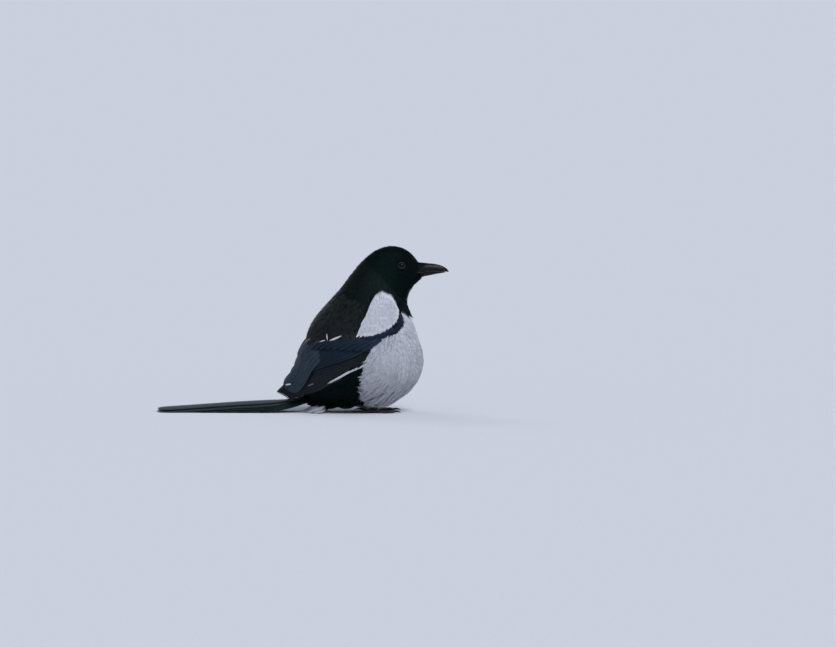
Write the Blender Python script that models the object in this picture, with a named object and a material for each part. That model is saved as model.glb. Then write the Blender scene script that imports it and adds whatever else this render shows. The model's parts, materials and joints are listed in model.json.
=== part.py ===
"""A Eurasian magpie at life size, fluffed up and squatting on its feet, with its long tail on the floor.

The bird looks along +X, its left side is +Y, and it rests on the plane z = 0. Sizes are in millimetres
until a mesh is made, and x = 0 lies under the middle of the belly until the last step.
"""

import math

import bmesh
import bpy
import numpy as np
from mathutils import Matrix, Vector

MM = 0.001
GAP = 0.3  # clearance between neighbouring pieces
VANE = 0.55  # thickness of a feather vane
MIDDLE_GAP = 2.0  # how far the feathers of a wing stay from the middle plane
LAYER = VANE + GAP  # rise from a vane to the one that lies over it
RIGHT, LEFT = -1, 1  # the side of the body, as the sign of y

# The body in chords of the middle plane, from rump to bill base:
# dorsal x, z, ventral x, z, half width. The surface is that of the smooth plumage.
BODY = [
    (-77, 28, -66, 12, 10),
    (-78, 43, -53, 8, 20),
    (-74, 60, -36, 7, 32),
    (-69, 76, -14, 8, 44),
    (-66, 92, 12, 8, 52),
    (-58.5, 107, 36, 13, 55),
    (-48, 120, 54, 27, 54.5),
    (-37, 132, 64, 46, 52),
    (-28, 142, 65, 66, 48),
    (-21.5, 151, 61.5, 85, 42.5),
    (-14.5, 160, 55.5, 104, 36),
    (-6.5, 170, 49.5, 119, 30),
    (3, 179, 48, 129, 26),
    (14.5, 187, 50.5, 137.5, 23.5),
    (29, 191, 54.5, 144, 22),
    (42, 189, 58.5, 148.5, 19.5),
    (51.5, 183.5, 61.5, 151.5, 15.5),
    (57.5, 177, 64.5, 154, 11.5),
    (61.5, 172, 66.5, 156.5, 7.5),
]
# The sheet that the folded wing lies on, from the wing tips to the shoulder, in the same form.
WING = [
    (-107, 20, -84, 9, 9),
    (-94, 37, -60, 8, 19),
    (-81.5, 54, -36, 6, 30),
    (-73, 72, -14, 6, 41),
    (-64, 89, 12, 6, 47.5),
    (-55, 104, 36, 12, 51),
    (-45, 117, 54, 28, 51),
    (-35, 129, 62, 47, 48.5),
    (-27, 139, 62, 67, 44.5),
    (-21, 148, 58, 85, 39.5),
    (-15, 157, 52, 103, 33),
]

BODY_RINGS, BODY_SIDES = 27, 20

# The forms of a feather: shares of its length, its width there, and the lines of points across it.
LONGEST_CHORD = 24  # a vane bends with its sheet at least this often
VANE_FORM = ([0, 0.35, 0.68, 0.88, 0.97, 1.0], [0.75, 1.0, 1.0, 0.82, 0.5, 0.14], (-1, 0, 1))
STRIP_FORM = ([0, 0.35, 0.68, 0.9, 0.98, 1.0], [0.75, 1.0, 1.0, 0.8, 0.45, 0.2], (-1, 1))
SCALE_FORM = ([0, 0.4, 0.78, 0.94, 1.0], [0.8, 1.0, 0.92, 0.62, 0.3], (-1, 1))
LOCK_FORM = ([0, 0.3, 0.6, 0.85, 1.0], [0.8, 1.0, 0.75, 0.35, 0.06], (-1, 1))

# Midlines of the first and last feather of each row of the folded wing, from root to tip in the side view.
PRIMARIES = [[(8, 78), (-40, 51), (-101, 21)], [(-4, 58), (-40, 36), (-88, 16.5)]]
SECONDARIES = [[(-28, 82), (-48, 72), (-64, 58)], [(12, 82), (-26, 58), (-70, 37)]]
TERTIALS = [[(-56, 79), (-64, 72), (-69, 62)], [(-44, 80), (-67, 52), (-88, 27)]]
WRIST_COVERTS = [[(40, 111), (39, 103), (33, 96)], [(45, 106), (43, 100), (38, 94)]]
ARM_TOP = [(40.5, 112), (36.5, 98), (26, 94), (10, 89), (-10, 88), (-46, 83), (-68, 76)]
ARM_LOW = [(46, 101), (38, 92), (26, 88), (12, 82), (-4, 76), (-44, 70), (-66, 66)]
SEAT_TOP = [(44.5, 119), (36.5, 100), (25, 96), (10, 91), (-10, 90), (-46, 85), (-70, 79), (-82, 60)]
SEAT_TOP += [(-91, 40)]
SEAT_LOW = [(51, 102.5), (42, 90), (27, 84), (16, 79), (2, 52), (-34, 28), (-62, 17), (-84, 9)]
HAND = [[(13, 86), (4, 70), (-9, 50)], [(2, 84), (-6, 68), (-17, 47)]]
WING_SINK = 2.5  # how deep the arm sits under the sheet of the wing

# Rows of belly locks: midlines of the first and the last, count, lift and lift of the tip.
LOCK_ROWS = [
    ([[(4, 42), (0, 24), (-2, 10)], [(62, 62), (62, 44), (57, 28)]], 6, 0.4, 2.2),
    ([[(8, 60), (3, 46), (1, 30)], [(65, 80), (66, 62), (63, 46)]], 6, 1.6, 1.6),
]

# The outline of the white shoulder patch in the side view, and the feather rows on it.
SCAPULAR_BACK = [(15, 138), (9.2, 131), (5, 121), (-3, 104), (-9.5, 88)]
SCAPULAR_FRONT = [(22, 138.5), (33, 133), (39.5, 119), (37, 104), (27, 94.5), (4, 86.5)]
SCAPULAR_ROWS = [
    [[(15, 133), (9, 122), (4, 112)], [(29, 132), (31, 120), (28, 109)]],
    [[(9, 124), (2, 110), (-3, 99)], [(33, 124), (32, 110), (27, 101)]],
    [[(5, 112), (-3, 98), (-8, 89)], [(33.5, 117), (32, 105), (26.5, 98)]],
]
SCAPULAR_SEAT = [
    [(14, 141), (7, 132), (2, 121), (-6, 104), (-13, 85)],
    [(24, 141.5), (36, 135), (43, 119), (41, 103), (29, 91), (2, 82)],
]
SCAPULAR_SINK = 1.5

EYE_AT = (42.1, 169.6)  # side view
EYE_RADIUS = 5.0
EYE_PROUD = 1.8  # how far the eyeball stands out of the plumage

# Culmen height, mouth line height, underside height and half width of the bill along x.
BILL = [
    (56.0, 171.0, 160.2, 156.2, 6.6),
    (64.0, 171.6, 161.4, 155.8, 6.4),
    (71.0, 171.2, 162.4, 156.6, 5.7),
    (77.0, 170.9, 162.7, 157.8, 4.9),
    (84.0, 169.7, 162.5, 159.2, 3.8),
    (90.0, 167.6, 162.0, 160.2, 2.6),
    (94.0, 164.9, 161.4, 160.8, 1.3),
]
BILL_END = (96.2, 162.2, 161.0, 160.6, 0.6)
LOWER_BILL_END = (92.6, 0, 161.5, 160.9, 1.3)

# The tail's ridge in the middle plane, from its root in the rump to the tips laid on the floor.
TAIL_RIDGE = [(-50, 25), (-64, 19), (-86, 14), (-112, 11.8), (-150, 9.6), (-190, 6.8), (-240, 3.4)]
TAIL_ROLL = math.radians(9)  # the tail is turned so that its right edge lies on the floor
TAIL_FEATHERS = [  # length, outer edge and inner edge from the ridge, for each pair from the middle out
    (190, 16.5, -9.0),
    (151, 18.5, 0.5),
    (128, 20.0, 0.5),
    (104, 21.0, 0.5),
    (79, 22.0, 0.5),
    (58, 22.5, 2.0),
]
TAIL_ROWS = [4, 18, 34, 52, 90, 130]  # where the vanes of the tail may bend, from their roots

LEG_Y = 19
ANKLE = (-27, 15)
FOOT_JOINT = (9, 3.6)
THIGH = [  # x, y beyond LEG_Y, z, radius along x, radius along y, from the flank down to the shank
    (-9, 7, 46, 12, 7),
    (-11, 7, 36, 16, 12),
    (-14, 5, 24, 16.5, 13),
    (-17, 3, 13, 13, 10.5),
    (-19, 2, 4, 8, 6.5),
]
TOES = [  # degrees from straight ahead, length, claw length; the first is the hind toe
    (180, 13, 9),
    (-17, 16, 7),
    (2, 24, 8),
    (22, 18, 7),
]

PARTING = {  # thin cuts in the side view that part the body
    "head_neck": [(-40, 174), (70, 122)],
    "neck_torso": [(-50, 152.5), (75, 98)],
    "back_belly": [(38, 114.13), (-5, 52), (-5, -20)],
}
PIECES = {  # a point inside each piece that the cuts leave
    "head": (30, 168),
    "neck": (20, 138),
    "back": (-40, 90),
    "belly": (30, 60),
}

BLACK = ((0.012, 0.014, 0.015), 0.6)
WHITE = ((0.78, 0.78, 0.82), 0.8)
BLUE = ((0.016, 0.032, 0.058), 0.35)
HORN = ((0.02, 0.021, 0.023), 0.35)
EYE = ((0.008, 0.006, 0.005), 0.05)
SCALE = ((0.018, 0.017, 0.017), 0.5)


def curve_at(points, t):
    """A smooth curve through points, read at t, which counts points from 0."""
    points = np.asarray(points, float)
    last = len(points) - 1
    t = np.clip(np.asarray(t, float), 0, last)
    i = np.minimum(t.astype(int), last - 1)
    f = (t - i)[..., None]
    before, after = points[np.maximum(i - 1, 0)], points[np.minimum(i + 2, last)]
    a, b = points[i], points[i + 1]
    slope_a, slope_b = (b - before) / 2, (after - a) / 2
    return (
        a * (1 + 2 * f) * (1 - f) ** 2
        + slope_a * f * (1 - f) ** 2
        + b * f * f * (3 - 2 * f)
        - slope_b * f * f * (1 - f)
    )


def unit(v):
    return v / np.maximum(np.linalg.norm(v, axis=-1, keepdims=True), 1e-9)


class Loft:
    """A form swept through chords. A place on it is (t, angle).

    t counts chords, and angle runs from the back round to the belly.
    """

    def __init__(self, chords):
        self.chords = chords
        self.last = len(chords) - 1

    def flat_point(self, t, angle):
        row = curve_at(self.chords, t)
        dorsal, ventral, half_width = row[..., 0:2], row[..., 2:4], row[..., 4]
        middle, half_chord = (dorsal + ventral) / 2, (ventral - dorsal) / 2
        place = middle - half_chord * np.cos(angle)[..., None]
        return np.stack([place[..., 0], half_width * np.sin(angle), place[..., 1]], -1)

    def axes(self, t, angle):
        """The steps of the surface with t and with angle, and its outward normal."""
        small = 1e-3
        along = (self.flat_point(t + small, angle) - self.flat_point(t - small, angle)) / (2 * small)
        around = (self.flat_point(t, angle + small) - self.flat_point(t, angle - small)) / (2 * small)
        return along, around, unit(np.cross(along, around))

    def point(self, t, angle, lift=0.0):
        t, angle = np.broadcast_arrays(np.asarray(t, float), np.asarray(angle, float))
        inner = np.clip(t, 0.01, self.last - 0.01)
        normal = self.axes(inner, angle)[2]
        return self.flat_point(t, angle) + normal * np.asarray(lift, float)[..., None]

    def locate(self, x, z):
        """The (t, angle) on the left side whose side view lies nearest to x, z."""
        t_range, angle_range = (0.0, float(self.last)), (0.02, math.radians(178))
        for _ in range(5):
            t, angle = np.meshgrid(np.linspace(*t_range, 41), np.linspace(*angle_range, 41), indexing="ij")
            place = self.flat_point(t, angle)
            best = np.argmin((place[..., 0] - x) ** 2 + (place[..., 2] - z) ** 2)
            t0, angle0 = t.flat[best], angle.flat[best]
            t_step, angle_step = (t_range[1] - t_range[0]) / 16, (angle_range[1] - angle_range[0]) / 16
            t_range = (max(t0 - t_step, 0), min(t0 + t_step, self.last))
            angle_range = (max(angle0 - angle_step, 0.005), min(angle0 + angle_step, 3.13))
        return np.array([t0, angle0])


body_loft, wing_loft = Loft(BODY), Loft(WING)


def finish(colour_and_roughness):
    colour, roughness = colour_and_roughness
    name = f"finish_{'_'.join(f'{c:.3f}' for c in colour)}"
    material = bpy.data.materials.get(name)
    if material is None:
        material = bpy.data.materials.new(name)
        material.use_nodes = True
        shader = material.node_tree.nodes["Principled BSDF"]
        shader.inputs["Base Color"].default_value = (*colour, 1)
        shader.inputs["Roughness"].default_value = roughness
    return material


def new_object(name, mesh, collection):
    made = bpy.data.objects.new(name, mesh)
    collection.objects.link(made)
    return made


def mesh_object(name, points, faces, collection):
    """A mesh object from points in millimetres, with every face a triangle that points out."""
    mesh = bpy.data.meshes.new(name)
    mesh.from_pydata((np.asarray(points) * MM).tolist(), [], faces)
    work = bmesh.new()
    work.from_mesh(mesh)
    bmesh.ops.recalc_face_normals(work, faces=work.faces)
    bmesh.ops.triangulate(work, faces=work.faces)
    work.to_mesh(mesh)
    work.free()
    return new_object(name, mesh, collection)


def slab(name, top, bottom, collection):
    """A closed thin body between two like grids of points, split into triangles alike on both faces."""
    rows, columns = top.shape[:2]
    count = rows * columns
    index = np.arange(count).reshape(rows, columns)
    faces = []
    for i in range(rows - 1):
        for j in range(columns - 1):
            a, b, c, d = index[i, j], index[i + 1, j], index[i + 1, j + 1], index[i, j + 1]
            faces += [(a, b, c), (a, c, d)]
            faces += [(c + count, b + count, a + count), (d + count, c + count, a + count)]
    rim = [*index[0, :-1], *index[:-1, -1], *index[-1, :0:-1], *index[:0:-1, 0]]
    for a, b in zip(rim, rim[1:] + rim[:1]):
        faces += [(a, b, b + count), (a, b + count, a + count)]
    points = np.concatenate([top.reshape(-1, 3), bottom.reshape(-1, 3)])
    return mesh_object(name, points, [tuple(int(v) for v in f) for f in faces], collection)


def rings_mesh(name, rings, collection):
    """A closed body through rings of points, with a flat end on the first and the last."""
    rings = np.asarray(rings)
    count, sides = rings.shape[:2]
    faces = [tuple(range(sides)), tuple(range((count - 1) * sides, count * sides))]
    for i in range(count - 1):
        for j in range(sides):
            k = (j + 1) % sides
            faces.append((i * sides + j, i * sides + k, (i + 1) * sides + k, (i + 1) * sides + j))
    return mesh_object(name, rings.reshape(-1, 3), faces, collection)


def on_sheet(loft, line, steps):
    """Evenly spaced (t, angle) places along a smooth line of the side view."""
    return curve_at([loft.locate(*place) for place in line], np.linspace(0, len(line) - 1, steps))


def between(loft, first, last, steps, shares):
    """A grid of (t, angle) places from one line of the side view to another."""
    a, b = on_sheet(loft, first, steps), on_sheet(loft, last, steps)
    shares = np.asarray(shares, float)[None, :, None]
    return a[:, None] * (1 - shares) + b[:, None] * shares


def sheet_slab(name, loft, side, place, low, high, collection):
    """A closed body over a grid of places on a loft, between two lifts."""
    flat = np.ones(place.shape[:2])
    grids = [loft.point(place[..., 0], place[..., 1], lift * flat) for lift in (high, low)]
    for grid in grids:
        grid[..., 1] *= side
    return slab(name, *grids, collection)


def length_on(loft, line):
    """The length of a side view line when it is laid on a loft."""
    places = loft.point(*on_sheet(loft, line, 9).T)
    return np.linalg.norm(np.diff(places, axis=0), axis=1).sum()


def tier(
    name,
    loft,
    side,
    lines,
    count,
    lift,
    collection,
    cover=0.8,
    least=0.0,
    layer=0.0,
    form=VANE_FORM,
    bend=(0, 0),
):
    """A row of vanes from a first midline to a last one, given in the side view from root to tip.

    Each vane is cover of the spacing wide on each side of its midline, or least at the least. It tilts so
    that the next one slips under its lower edge. With layer, the vanes lie level instead, and step down by
    layer. bend lifts the root and the tip.
    """
    knots, widths, edges = form
    length = max(length_on(loft, line) for line in lines)
    bends = max(2, math.ceil(length * knots[-3] / LONGEST_CHORD))
    shares = np.concatenate([np.linspace(0, knots[-3], bends + 1), knots[-2:]])
    outline = np.interp(shares, knots, widths)
    ends = [curve_at(on_sheet(loft, line, len(line)), shares * (len(line) - 1)) for line in lines]
    spread = (loft.point(*ends[1].T) - loft.point(*ends[0].T)) / max(count - 1, 1)
    rise = bend[0] * np.clip(1 - shares / 0.4, 0, 1) + bend[1] * shares**2
    for i in range(count):
        share = i / max(count - 1, 1)
        path = ends[0] * (1 - share) + ends[1] * share
        along, around, normal = loft.axes(path[:, 0], path[:, 1])
        ahead = np.gradient(loft.point(*path.T), axis=0)
        across = unit(np.cross(ahead, normal))
        across *= np.sign((across * around).sum(-1, keepdims=True))
        spacing = np.maximum(np.abs((across * spread).sum(-1)), 1.2)
        half = np.maximum(spacing * cover, least) * outline
        slope = 0 if layer else LAYER / spacing
        places, lifts = [], []
        for edge in edges:
            offset = across * (half * edge)[:, None]
            t = path[:, 0] + (offset * along).sum(-1) / (along**2).sum(-1)
            angle = path[:, 1] + (offset * around).sum(-1) / (around**2).sum(-1)
            half_width = curve_at(loft.chords, t)[:, 4]
            angle = np.maximum(angle, np.arcsin(np.clip(MIDDLE_GAP / half_width, 0, 1)))
            places.append(np.stack([t, angle], -1))
            lifts.append(lift + rise - layer * i + slope * half * edge)
        place, low = np.stack(places, 1), np.stack(lifts, 1)
        sheet_slab(f"{name}_{i}", loft, side, place, low, low + VANE, collection)


def prism(name, outline, half_length, collection):
    """An outline of the side view, extruded to both sides."""
    rings = [[(x, y, z) for x, z in outline] for y in (-half_length, half_length)]
    return rings_mesh(name, rings, collection)


def cut_plate(name, line, collection):
    """A plate of the gap's thickness along a line of the side view."""
    line = np.asarray(line, float)
    ahead = unit(np.diff(line, axis=0))
    ahead = np.concatenate([ahead[:1], unit(ahead[:-1] + ahead[1:]), ahead[-1:]])
    sideways = np.stack([-ahead[:, 1], ahead[:, 0]], 1) * GAP / 2
    return prism(name, [*(line + sideways), *(line - sideways)[::-1]], 90, collection)


def tapered_tube(name, points, radii, collection, sides=1):
    """A round tube through points with its own radius at each, as a closed mesh."""
    curve = bpy.data.curves.new(name, "CURVE")
    curve.dimensions = "3D"
    curve.bevel_depth = MM
    curve.bevel_resolution = sides
    curve.use_fill_caps = True
    spline = curve.splines.new("POLY")
    spline.points.add(len(points) - 1)
    for spot, place, radius in zip(spline.points, points, radii):
        spot.co = (*(Vector(place) * MM), 1)
        spot.radius = radius
    source = new_object(f"{name}_line", curve, collection)
    bpy.context.view_layer.update()
    mesh = bpy.data.meshes.new_from_object(source.evaluated_get(bpy.context.evaluated_depsgraph_get()))
    bpy.data.objects.remove(source)
    work = bmesh.new()
    work.from_mesh(mesh)
    bmesh.ops.remove_doubles(work, verts=work.verts, dist=1e-6)
    bmesh.ops.recalc_face_normals(work, faces=work.faces)
    work.to_mesh(mesh)
    work.free()
    return new_object(name, mesh, collection)


def ball(name, centre, radii, collection, segments=12, rings=8):
    """An ellipsoid from a primitive sphere."""
    work = bmesh.new()
    placing = Matrix.Translation(Vector(centre) * MM) @ Matrix.Diagonal((*(Vector(radii) * MM), 1))
    bmesh.ops.create_uvsphere(work, u_segments=segments, v_segments=rings, radius=1, matrix=placing)
    mesh = bpy.data.meshes.new(name)
    work.to_mesh(mesh)
    work.free()
    return new_object(name, mesh, collection)


def combine(target, operation, pieces, solver="EXACT"):
    """Applies one Boolean of a collection of closed meshes to target, and removes them."""
    group = bpy.data.collections.new(f"{target.name}_{operation.lower()}")
    bpy.context.scene.collection.children.link(group)
    for piece in pieces:
        for holder in list(piece.users_collection):
            holder.objects.unlink(piece)
        group.objects.link(piece)
    modifier = target.modifiers.new(operation.lower(), "BOOLEAN")
    modifier.operation = operation
    modifier.operand_type = "COLLECTION"
    modifier.collection = group
    modifier.solver = solver
    bpy.context.view_layer.update()
    mesh = bpy.data.meshes.new_from_object(target.evaluated_get(bpy.context.evaluated_depsgraph_get()))
    target.modifiers.clear()
    target.data = mesh
    work = bmesh.new()
    work.from_mesh(mesh)
    bmesh.ops.triangulate(work, faces=work.faces)
    bmesh.ops.dissolve_degenerate(work, dist=2e-7, edges=work.edges)
    bmesh.ops.triangulate(work, faces=work.faces)
    work.to_mesh(mesh)
    work.free()
    for piece in pieces:
        bpy.data.objects.remove(piece)
    bpy.data.collections.remove(group)


def closed_parts(work):
    """The faces of each closed surface of a bmesh, largest volume first."""
    left, parts = set(work.faces), []
    while left:
        start = left.pop()
        found, edge = {start}, [start]
        while edge:
            face = edge.pop()
            near = {f for e in face.edges for f in e.link_faces} - found
            found |= near
            edge += near
        left -= found
        parts.append(found)

    def volume(faces):
        total = 0.0
        for face in faces:
            first, *others = (v.co for v in face.verts)
            total += sum(first.dot(a.cross(b)) for a, b in zip(others, others[1:]))
        return total

    return sorted(parts, key=volume, reverse=True)


def keep_largest(target):
    """Drops all but the largest closed surface, and joins its level triangles."""
    work = bmesh.new()
    work.from_mesh(target.data)
    bmesh.ops.dissolve_limit(work, angle_limit=math.radians(0.3), verts=work.verts, edges=work.edges)
    bmesh.ops.triangulate(work, faces=work.faces)
    for part in closed_parts(work)[1:]:
        bmesh.ops.delete(work, geom=list(part), context="FACES")
    bmesh.ops.delete(work, geom=[v for v in work.verts if not v.link_faces], context="VERTS")
    work.to_mesh(target.data)
    work.free()


def vent_form(name, swell, collection):
    """The pad of white fluff under the rump, less what the thighs take up."""
    pad = ball(name, (-42, 0, 10), (16 + swell, 23 + swell, 7.5 + swell), collection, 16, 9)
    for side in (RIGHT, LEFT):
        room = rings_mesh(f"thigh_room_{side}", thigh_rings(side, GAP - swell), collection)
        combine(pad, "DIFFERENCE", [room])
    return pad


def vent(collection):
    """White fluff under the rump, whose locks trail back along the floor beneath the tail."""
    pad = vent_form("vent", 0, collection)
    pieces = pieces_of("vent")
    for i in range(7):
        turn = math.radians(-54 + 18 * i)
        ahead = np.array([-math.cos(turn), math.sin(turn)])
        u = np.array([0, 0.35, 0.7, 1.0])
        start = np.array([-42, 0]) + ahead * (10, 15)
        middle = start + ahead * (u * (17 if i % 2 else 21))[:, None]
        across = np.array([-ahead[1], ahead[0]])
        half = np.array([3.2, 3.6, 2.2, 0.3])
        height = np.array([7.5, 7.0, 5.0, 3.0]) + 0.9 * (i % 2)
        edges = [middle + across * (half * edge)[:, None] for edge in (-1, 1)]
        top = np.stack([np.concatenate([edge, height[:, None]], 1) for edge in edges], 1)
        slab(f"fluff_{i}", top + (0, 0, 0.9), top, pieces)
    feathered("vent", pad, pieces, WHITE)


def floor_cutter(collection):
    """The space under the floor."""
    return prism("floor", [(-300, 0), (300, 0), (300, -60), (-300, -60)], 200, collection)


def dress(target, look):
    """Gives a node its finish and smooth shading with crisp edges."""
    target.data.materials.clear()
    target.data.materials.append(finish(look))
    target.data.shade_smooth()
    target.data.set_sharp_from_angle(angle=math.radians(40))


def torso(name, collection, swell=0.0):
    """The whole body's loft as a closed mesh, swollen by swell."""
    t = np.linspace(0, body_loft.last, BODY_RINGS)[:, None]
    angle = (np.arange(BODY_SIDES) * 2 * math.pi / BODY_SIDES)[None, :]
    t, angle = np.broadcast_arrays(t, angle)
    return rings_mesh(name, body_loft.point(t, angle, np.full(t.shape, swell)), collection)


def belly_locks(collection):
    """Tiers of long shaggy locks on the breast and flanks, whose tips make the ragged hem over the feet."""
    for side in (RIGHT, LEFT):
        for row, (lines, count, lift, tip) in enumerate(LOCK_ROWS):
            name, bend = f"lock_{row}_{side}", (-1.5, tip)
            tier(name, body_loft, side, lines, count, lift, collection, 0.62, form=LOCK_FORM, bend=bend)


def lid_ring(side, collection):
    """The rim of feathered lids round an eye."""
    t, angle = body_loft.locate(*EYE_AT)
    centre = body_loft.point(t, angle, -0.3) * (1, side, 1)
    normal = body_loft.axes(np.array(t), np.array(angle))[2] * (1, side, 1)
    bpy.ops.mesh.primitive_torus_add(
        major_radius=4.5 * MM, minor_radius=1.0 * MM, major_segments=16, minor_segments=5
    )
    ring = bpy.context.object
    facing = Vector(normal).to_track_quat("Z", "Y").to_matrix().to_4x4()
    ring.data.transform(Matrix.Translation(Vector(centre) * MM) @ facing)
    for holder in list(ring.users_collection):
        holder.objects.unlink(ring)
    collection.objects.link(ring)
    return ring


def eye_ball(name, side, radius, collection):
    t, angle = body_loft.locate(*EYE_AT)
    centre = body_loft.point(t, angle, EYE_PROUD - EYE_RADIUS) * (1, side, 1)
    return ball(name, centre, (radius,) * 3, collection)


def bill_arc(station, side, swell=0.0):
    """The outline of the upper (1) or lower (-1) half of the bill at a station, from left to right."""
    x, culmen, mouth, under, half_width = station
    edge = mouth + side * GAP / 2
    reach = (culmen if side > 0 else under) - edge + side * swell
    turns = np.linspace(0, math.pi, 9)
    y, z = (half_width + swell) * np.cos(turns), edge + reach * np.abs(np.sin(turns)) ** 0.8
    return np.stack([np.full(9, x), y, z], 1)


def bill_half(name, side, collection):
    """Half a bill: a ridged dome over or under the line of the mouth, flat towards the other half."""
    stations = [*BILL, BILL_END] if side > 0 else [*BILL[:-1], LOWER_BILL_END]
    half = rings_mesh(name, [bill_arc(station, side) for station in stations], collection)
    dress(half, HORN)
    return half


def bill_seat(collection):
    """Both halves of the bill's base swollen by the gap as one form, to cut their seat in the face."""
    rings = [np.concatenate([bill_arc(s, 1, GAP), bill_arc(s, -1, GAP)[::-1]]) for s in BILL[:5]]
    return rings_mesh("bill_seat", np.array(rings) - (GAP, 0, 0), collection)


def bristles(side, collection):
    """The stiff nasal feathers that lie forward over the nostrils."""
    for k in range(4):
        height = 171.6 - 1.9 * k
        root = (53 - k, (0.2 + 1.4 * k) * side, height - 1)
        middle = (62, (2.4 + 1.6 * k) * side, height + 0.6)
        tip = (70.5 - 1.6 * k, (2.8 + 1.3 * k) * side, height - 0.4)
        tapered_tube(f"bristle_{k}", [root, middle, tip], [1.9, 1.5, 0.35], collection, sides=0)


def tail_point(along, across, lift):
    """A place on the tail: along it from the root, across it from the ridge to the left, and above it."""
    ridge = np.array(TAIL_RIDGE, float)
    lengths = np.concatenate([[0], np.cumsum(np.linalg.norm(np.diff(ridge, axis=0), axis=1))])
    t = np.interp(along, lengths, np.arange(len(ridge)))
    place = curve_at(ridge, t)
    ahead = unit(curve_at(ridge, t + 0.05) - curve_at(ridge, t - 0.05))
    up = np.stack([ahead[..., 1], -ahead[..., 0]], -1)
    roll = TAIL_ROLL * np.clip(along / 70, 0, 1)
    fall = 0.006 * across**2
    y = across * np.cos(roll) - (lift - fall) * np.sin(roll)
    height = across * np.sin(roll) + (lift - fall) * np.cos(roll)
    side_view = place + up * height[..., None]
    return np.stack([side_view[..., 0], y, side_view[..., 1]], -1)


def tail(collection):
    """Twelve graduated feathers, the middle pair longest and on top, fused at a short root."""
    pieces = bpy.data.collections.new("tail_pieces")
    bpy.context.scene.collection.children.link(pieces)
    for pair, (length, outer, inner) in enumerate(TAIL_FEATHERS):
        bends = [row for row in TAIL_ROWS if row < 0.7 * length]
        along = np.array(bends + [0.8 * length, 0.93 * length, 0.985 * length, length])
        rounding = np.array([1.0] * len(bends) + [1.0, 0.86, 0.5, 0.16])
        spread = 0.35 + 0.65 * np.clip(along / 60, 0, 1)
        for side in (RIGHT, LEFT):
            layer = pair + (1 if pair else (0 if side == LEFT else 1))
            middle, half = (outer + inner) / 2 * spread, (outer - inner) / 2 * spread * rounding
            top, bottom = [], []
            for share in (-1, 0, 1):
                across = (middle + half * share) * side
                lift = np.full(len(along), -LAYER * layer)
                top.append(tail_point(along, across, lift))
                bottom.append(tail_point(along, across, lift - VANE))
            slab(f"rectrix_{pair}_{side}", np.stack(top, 1), np.stack(bottom, 1), pieces)
    along, across = np.meshgrid(np.array([1.0, 8, 16, 24]), np.linspace(-8.5, 8.5, 5), indexing="ij")
    high, low = np.full(along.shape, 1.2), np.full(along.shape, -6.6)
    root = slab("tail", tail_point(along, across, high), tail_point(along, across, low), collection)
    combine(root, "UNION", list(pieces.objects))
    bpy.data.collections.remove(pieces)
    combine(root, "DIFFERENCE", [floor_cutter(collection)])
    keep_largest(root)
    dress(root, BLUE)
    return root


def tail_seat(collection):
    """The tail root swollen by the gap, to cut its seat in the rump."""
    along = np.array([1.0 - GAP, *TAIL_ROWS[:4]])[:, None] * np.ones(5)
    across = np.linspace(-1, 1, 5) * np.array([9.2, 9.8, 13, 19, 24])[:, None]
    high, low = np.full(along.shape, 1.2 + GAP), np.full(along.shape, -8.0 - GAP)
    return slab("tail_seat", tail_point(along, across, high), tail_point(along, across, low), collection)


def feathered(name, core, pieces, look):
    """Fuses the feathers of a collection with their core."""
    combine(core, "UNION", list(pieces.objects))
    bpy.data.collections.remove(pieces)
    keep_largest(core)
    dress(core, look)
    return core


def pieces_of(name):
    """A collection for the loose feathers of a node."""
    pieces = bpy.data.collections.new(f"{name}_pieces")
    bpy.context.scene.collection.children.link(pieces)
    return pieces


def wing(name, side, collection):
    """A folded wing: the arm, with primaries under secondaries under tertials, and coverts at the wrist."""
    pieces = pieces_of(name)
    tier("primary", wing_loft, side, PRIMARIES, 5, 0.7, pieces, cover=0.85, form=STRIP_FORM)
    tier("secondary", wing_loft, side, SECONDARIES, 6, 2.9, pieces, form=STRIP_FORM, bend=(-1, 0))
    tier("tertial", wing_loft, side, TERTIALS, 3, 6.2, pieces, least=11, layer=LAYER, bend=(-3.5, 0))
    tier("wrist_covert", wing_loft, side, WRIST_COVERTS, 3, 4.4, pieces, form=SCALE_FORM, bend=(-1, 0))
    sheet_slab("hand", wing_loft, side, between(wing_loft, *HAND, 5, (0, 1)), -WING_SINK, 2.4, pieces)
    shares = np.linspace(0, 1, 3)
    place = between(wing_loft, ARM_TOP, ARM_LOW, 11, shares)
    arm = sheet_slab(name, wing_loft, side, place, -WING_SINK, 5.0 - 1.6 * shares**2, collection)
    feathered(name, arm, pieces, BLUE)
    combine(arm, "DIFFERENCE", [scapular_seat(side, collection)])
    keep_largest(arm)


def wing_seat(side, collection):
    """The room of a wing in the body. Towards the rump it passes the middle plane and meets the other."""
    shares = np.linspace(0, 1, 5)
    place = between(wing_loft, SEAT_TOP, SEAT_LOW, 17, shares)
    place[..., 1] -= 0.1 * np.linspace(0, 1, 17)[:, None] ** 3 * (1 - shares)
    return sheet_slab(f"wing_seat_{side}", wing_loft, side, place, -WING_SINK - 3 * GAP, 18, collection)


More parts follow.
